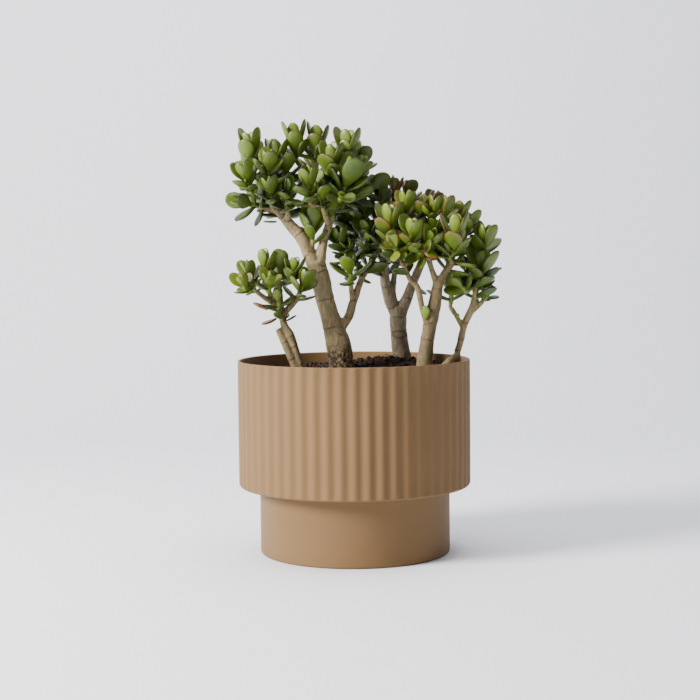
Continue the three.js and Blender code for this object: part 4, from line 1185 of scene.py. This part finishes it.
def add_stalk(shape, points, sides=10):
    made, faces = tube(smooth_curve(points, 6), sides)
    count = len(made)
    shape.add(made, faces, margin=[0.0] * count, along=[0.1] * count, upper=[1.0] * count,
              tone=[0.55] * count, blush=[0.1] * count)


def add_leaf(shape, leaf, tone, blush):
    points, faces, values = leaf_mesh(leaf, min(max(tone, 0.0), 1.0), max(blush, 0.0))
    shape.add(points, faces, **values)


def add_shoot(shape, shoot, tree):
    tone, blush = leaf_tones(shoot)
    draw = drawer(COLOUR_SEED + shoot.index)
    heights = pair_heights(shoot)
    top = heights[-1] + TIP_ABOVE_LAST_PAIR
    rings = zip((-TIP_IN_TWIG, *heights, top),
                (TIP_ROOT_RADIUS, *([TIP_RADIUS] * len(heights)), TIP_END_RADIUS))
    add_stalk(shape, [(*(shoot.base + shoot.axis * height), radius)
                      for height, radius in rings])
    if shoot.carrier in shoot_named:
        add_stalk(shape, twig_points(shoot))
    for share, tries in leaf_choices(shoot):
        leaf = bent_leaf(tries, tree)
        leaf_tone = tone + INNER_PALER * (share - 0.5) + TONE_VARIES * draw()
        leaf_blush = blush * (1 - INNER_BLUSH_LOST * share) * (1 + BLUSH_VARIES * draw())
        if leaf:
            add_leaf(shape, leaf, leaf_tone, leaf_blush)
    # The youngest pair stands folded together in the heart of the rosette.
    for side in (0, 180):
        heart = Leaf(shoot.base + shoot.axis * (top - 0.8), shoot.axis,
                     outward_from(shoot.axis, shoot.turn + 90 * shoot.pairs + side),
                     length=HEART_SHARE * shoot.length, **HEART_FORM)
        add_leaf(shape, heart, tone + 0.3, 0.3 * blush)


def add_old_leaves(shape, shoot):
    """Shaded older leaves on the twig under the rosette, which has dropped some of them."""
    tone, blush = leaf_tones(shoot)
    draw = drawer(OLD_LEAF_SEED + shoot.index)
    before, foot = (np.array(point[:3]) for point in twig_points(shoot)[-2:])
    down = (before - foot) / np.linalg.norm(before - foot)
    for pair, below in enumerate(OLD_PAIRS_BELOW):
        for side in (0, 180):
            turn = shoot.turn + 45 + 90 * pair + side + OLD_LEAF_TURN_VARIES * draw()
            leaning = shoot.lean + OLD_LEAF_LEANS_MORE + OLD_LEAF_LEAN_VARIES * draw()
            length = (OLD_LEAF_SHARE + OLD_LEAF_SHARE_VARIES * draw()) * shoot.length
            kept = draw() > OLD_LEAVES_LOST
            if kept:
                leaf = Leaf(foot + down * below, shoot.axis, outward_from(shoot.axis, turn),
                            leaning, length, **OLD_LEAF_FORM)
                add_leaf(shape, leaf, tone - 0.2, 0.3 * blush)


def make_old_leaves(material):
    crowns = {}
    for shoot in shoots:
        if shoot.lean < LYING:
            add_old_leaves(crowns.setdefault(crown_of(shoot), Shape()), shoot)
    for crown, shape in crowns.items():
        shape.piece(f"old_leaves_{crown}", material, "leaf", [])


def make_limb_leaves(material):
    """Pairs of leaves on the limbs inside the crowns, dark with painted shade, each pair turned
    from the last.
    """
    shape = Shape()
    draw = drawer(LIMB_LEAF_SEED)
    for name, start in LEAFY_FROM.items():
        samples = smooth_curve(LIMBS[name], 40)[:, :3]
        steps = np.linalg.norm(np.diff(samples, axis=0), axis=1)
        runs = np.concatenate([[0], np.cumsum(steps)])
        place = start * runs[-1]
        turn = 180 * draw()
        while place < runs[-1]:
            here = int(np.searchsorted(runs, place))
            axis = samples[min(here + 1, len(samples) - 1)] - samples[max(here - 1, 0)]
            axis /= np.linalg.norm(axis)
            for side in (0, 180):
                outward = outward_from(axis, turn + side + LIMB_LEAF_TURN_VARIES * draw())
                leaning = LIMB_LEAF_LEAN + LIMB_LEAF_LEAN_VARIES * draw()
                length = LIMB_LEAF_LENGTH * (1 + LIMB_LEAF_LENGTH_VARIES * draw())
                leaf = Leaf(samples[here], axis, outward, leaning, length, **OLD_LEAF_FORM)
                # A low tone: painted shade inside the crown.
                add_leaf(shape, leaf, 0.12 + 0.15 * draw(), 0.05)
            turn += LIMB_PAIR_TURN + 20 * draw()
            place += LEAFY_STEP * (1 + LEAFY_STEP_VARIES * draw())
    shape.piece("limb_leaves", material, "leaf", [])


def make_single_leaves(material):
    """The leaves and buds of the list of single leaves."""
    shape = Shape()
    upright = np.array((0.0, 0.0, 1.0))
    for place, turn, lean, length, tone, blush in SINGLE_LEAVES:
        angle = math.radians(turn)
        outward = np.array((math.cos(angle), math.sin(angle), 0.0))
        leaf = Leaf(np.array(place, float), upright, outward, lean, length, slim=0.95,
                    bend=0.25, cup=0.12)
        add_leaf(shape, leaf, tone, blush)
    shape.piece("single_leaves", material, "leaf", [])


def make_leaves(material):
    """The rosettes, one piece for each leafy node of the part."""
    sprays = {}
    for shoot in shoots:
        owner = shoot.carrier if shoot.carrier in shoot_named else shoot.name
        node = f"leaves_{owner}"
        if node not in sprays:
            sprays[node] = (Shape(), corner_tree(node))
        shape, tree = sprays[node]
        add_shoot(shape, shoot, tree)
    for node, (shape, _) in sprays.items():
        shape.piece(node.replace("leaves_", "spray_"), material, "leaf", [node])


make_pot(powder_coated_steel())
peat = damp_peat()
make_soil(peat)
make_crumbs(peat)
make_wood(corky_bark("corky_bark", "#A18F69", "#7B6643", "#82795B"),
          corky_bark("shaded_corky_bark", "#8E7F66", "#66573F", "#746B57"))
wax = waxy_leaf()
make_leaves(wax)
make_old_leaves(wax)
make_limb_leaves(wax)
make_single_leaves(wax)


# The stage

TABLE_REACH = 4000.0
SWEEP_START = 900.0
SWEEP_RADIUS = 900.0


def make_floor(material):
    """A table that sweeps up into a backdrop."""
    profile = [(-TABLE_REACH, 0), (SWEEP_START, 0)]
    for angle in map(math.radians, range(6, 91, 6)):
        profile.append((SWEEP_START + SWEEP_RADIUS * math.sin(angle),
                        SWEEP_RADIUS * (1 - math.cos(angle))))
    profile.append((SWEEP_START + SWEEP_RADIUS, TABLE_REACH))
    points = [(x, y, z) for y, z in profile for x in (-TABLE_REACH, TABLE_REACH)]
    faces = [(2 * i, 2 * i + 1, 2 * i + 3, 2 * i + 2) for i in range(len(profile) - 1)]
    mesh = bpy.data.meshes.new("sweep")
    mesh.from_pydata([tuple(c * MM for c in point) for point in points], [], faces)
    mesh.materials.append(material)
    mesh.shade_smooth()
    floor = bpy.data.objects.new("sweep", mesh)
    bpy.context.scene.collection.objects.link(floor)


PLANT_MIDDLE = (0, 0, 0.2)
WORLD_STRENGTH = 0.37


def add_light(name, place, size, power, colour):
    """A round soft light that looks at the middle of the plant, in metres and watts."""
    data = bpy.data.lights.new(name, "AREA")
    data.shape = "DISK"
    data.size = size
    data.energy = power
    data.color = linear(colour)[:3]
    light = bpy.data.objects.new(name, data)
    light.location = place
    way = Vector(PLANT_MIDDLE) - Vector(place)
    light.rotation_euler = way.to_track_quat("-Z", "Y").to_euler()
    bpy.context.scene.collection.objects.link(light)


def light_studio():
    world = bpy.data.worlds.new("studio")
    world.use_nodes = True
    sky = world.node_tree.nodes["Background"]
    sky.inputs["Color"].default_value = linear("#F1F3F8")
    sky.inputs["Strength"].default_value = WORLD_STRENGTH
    bpy.context.scene.world = world
    add_light("window", place=(-1.9, -1.0, 1.15), size=0.9, power=172, colour="#FFFCF8")
    add_light("overhead", place=(0.1, 0.1, 2.4), size=1.8, power=50, colour="#FFFFFF")


make_floor(painted_board())
light_studio()
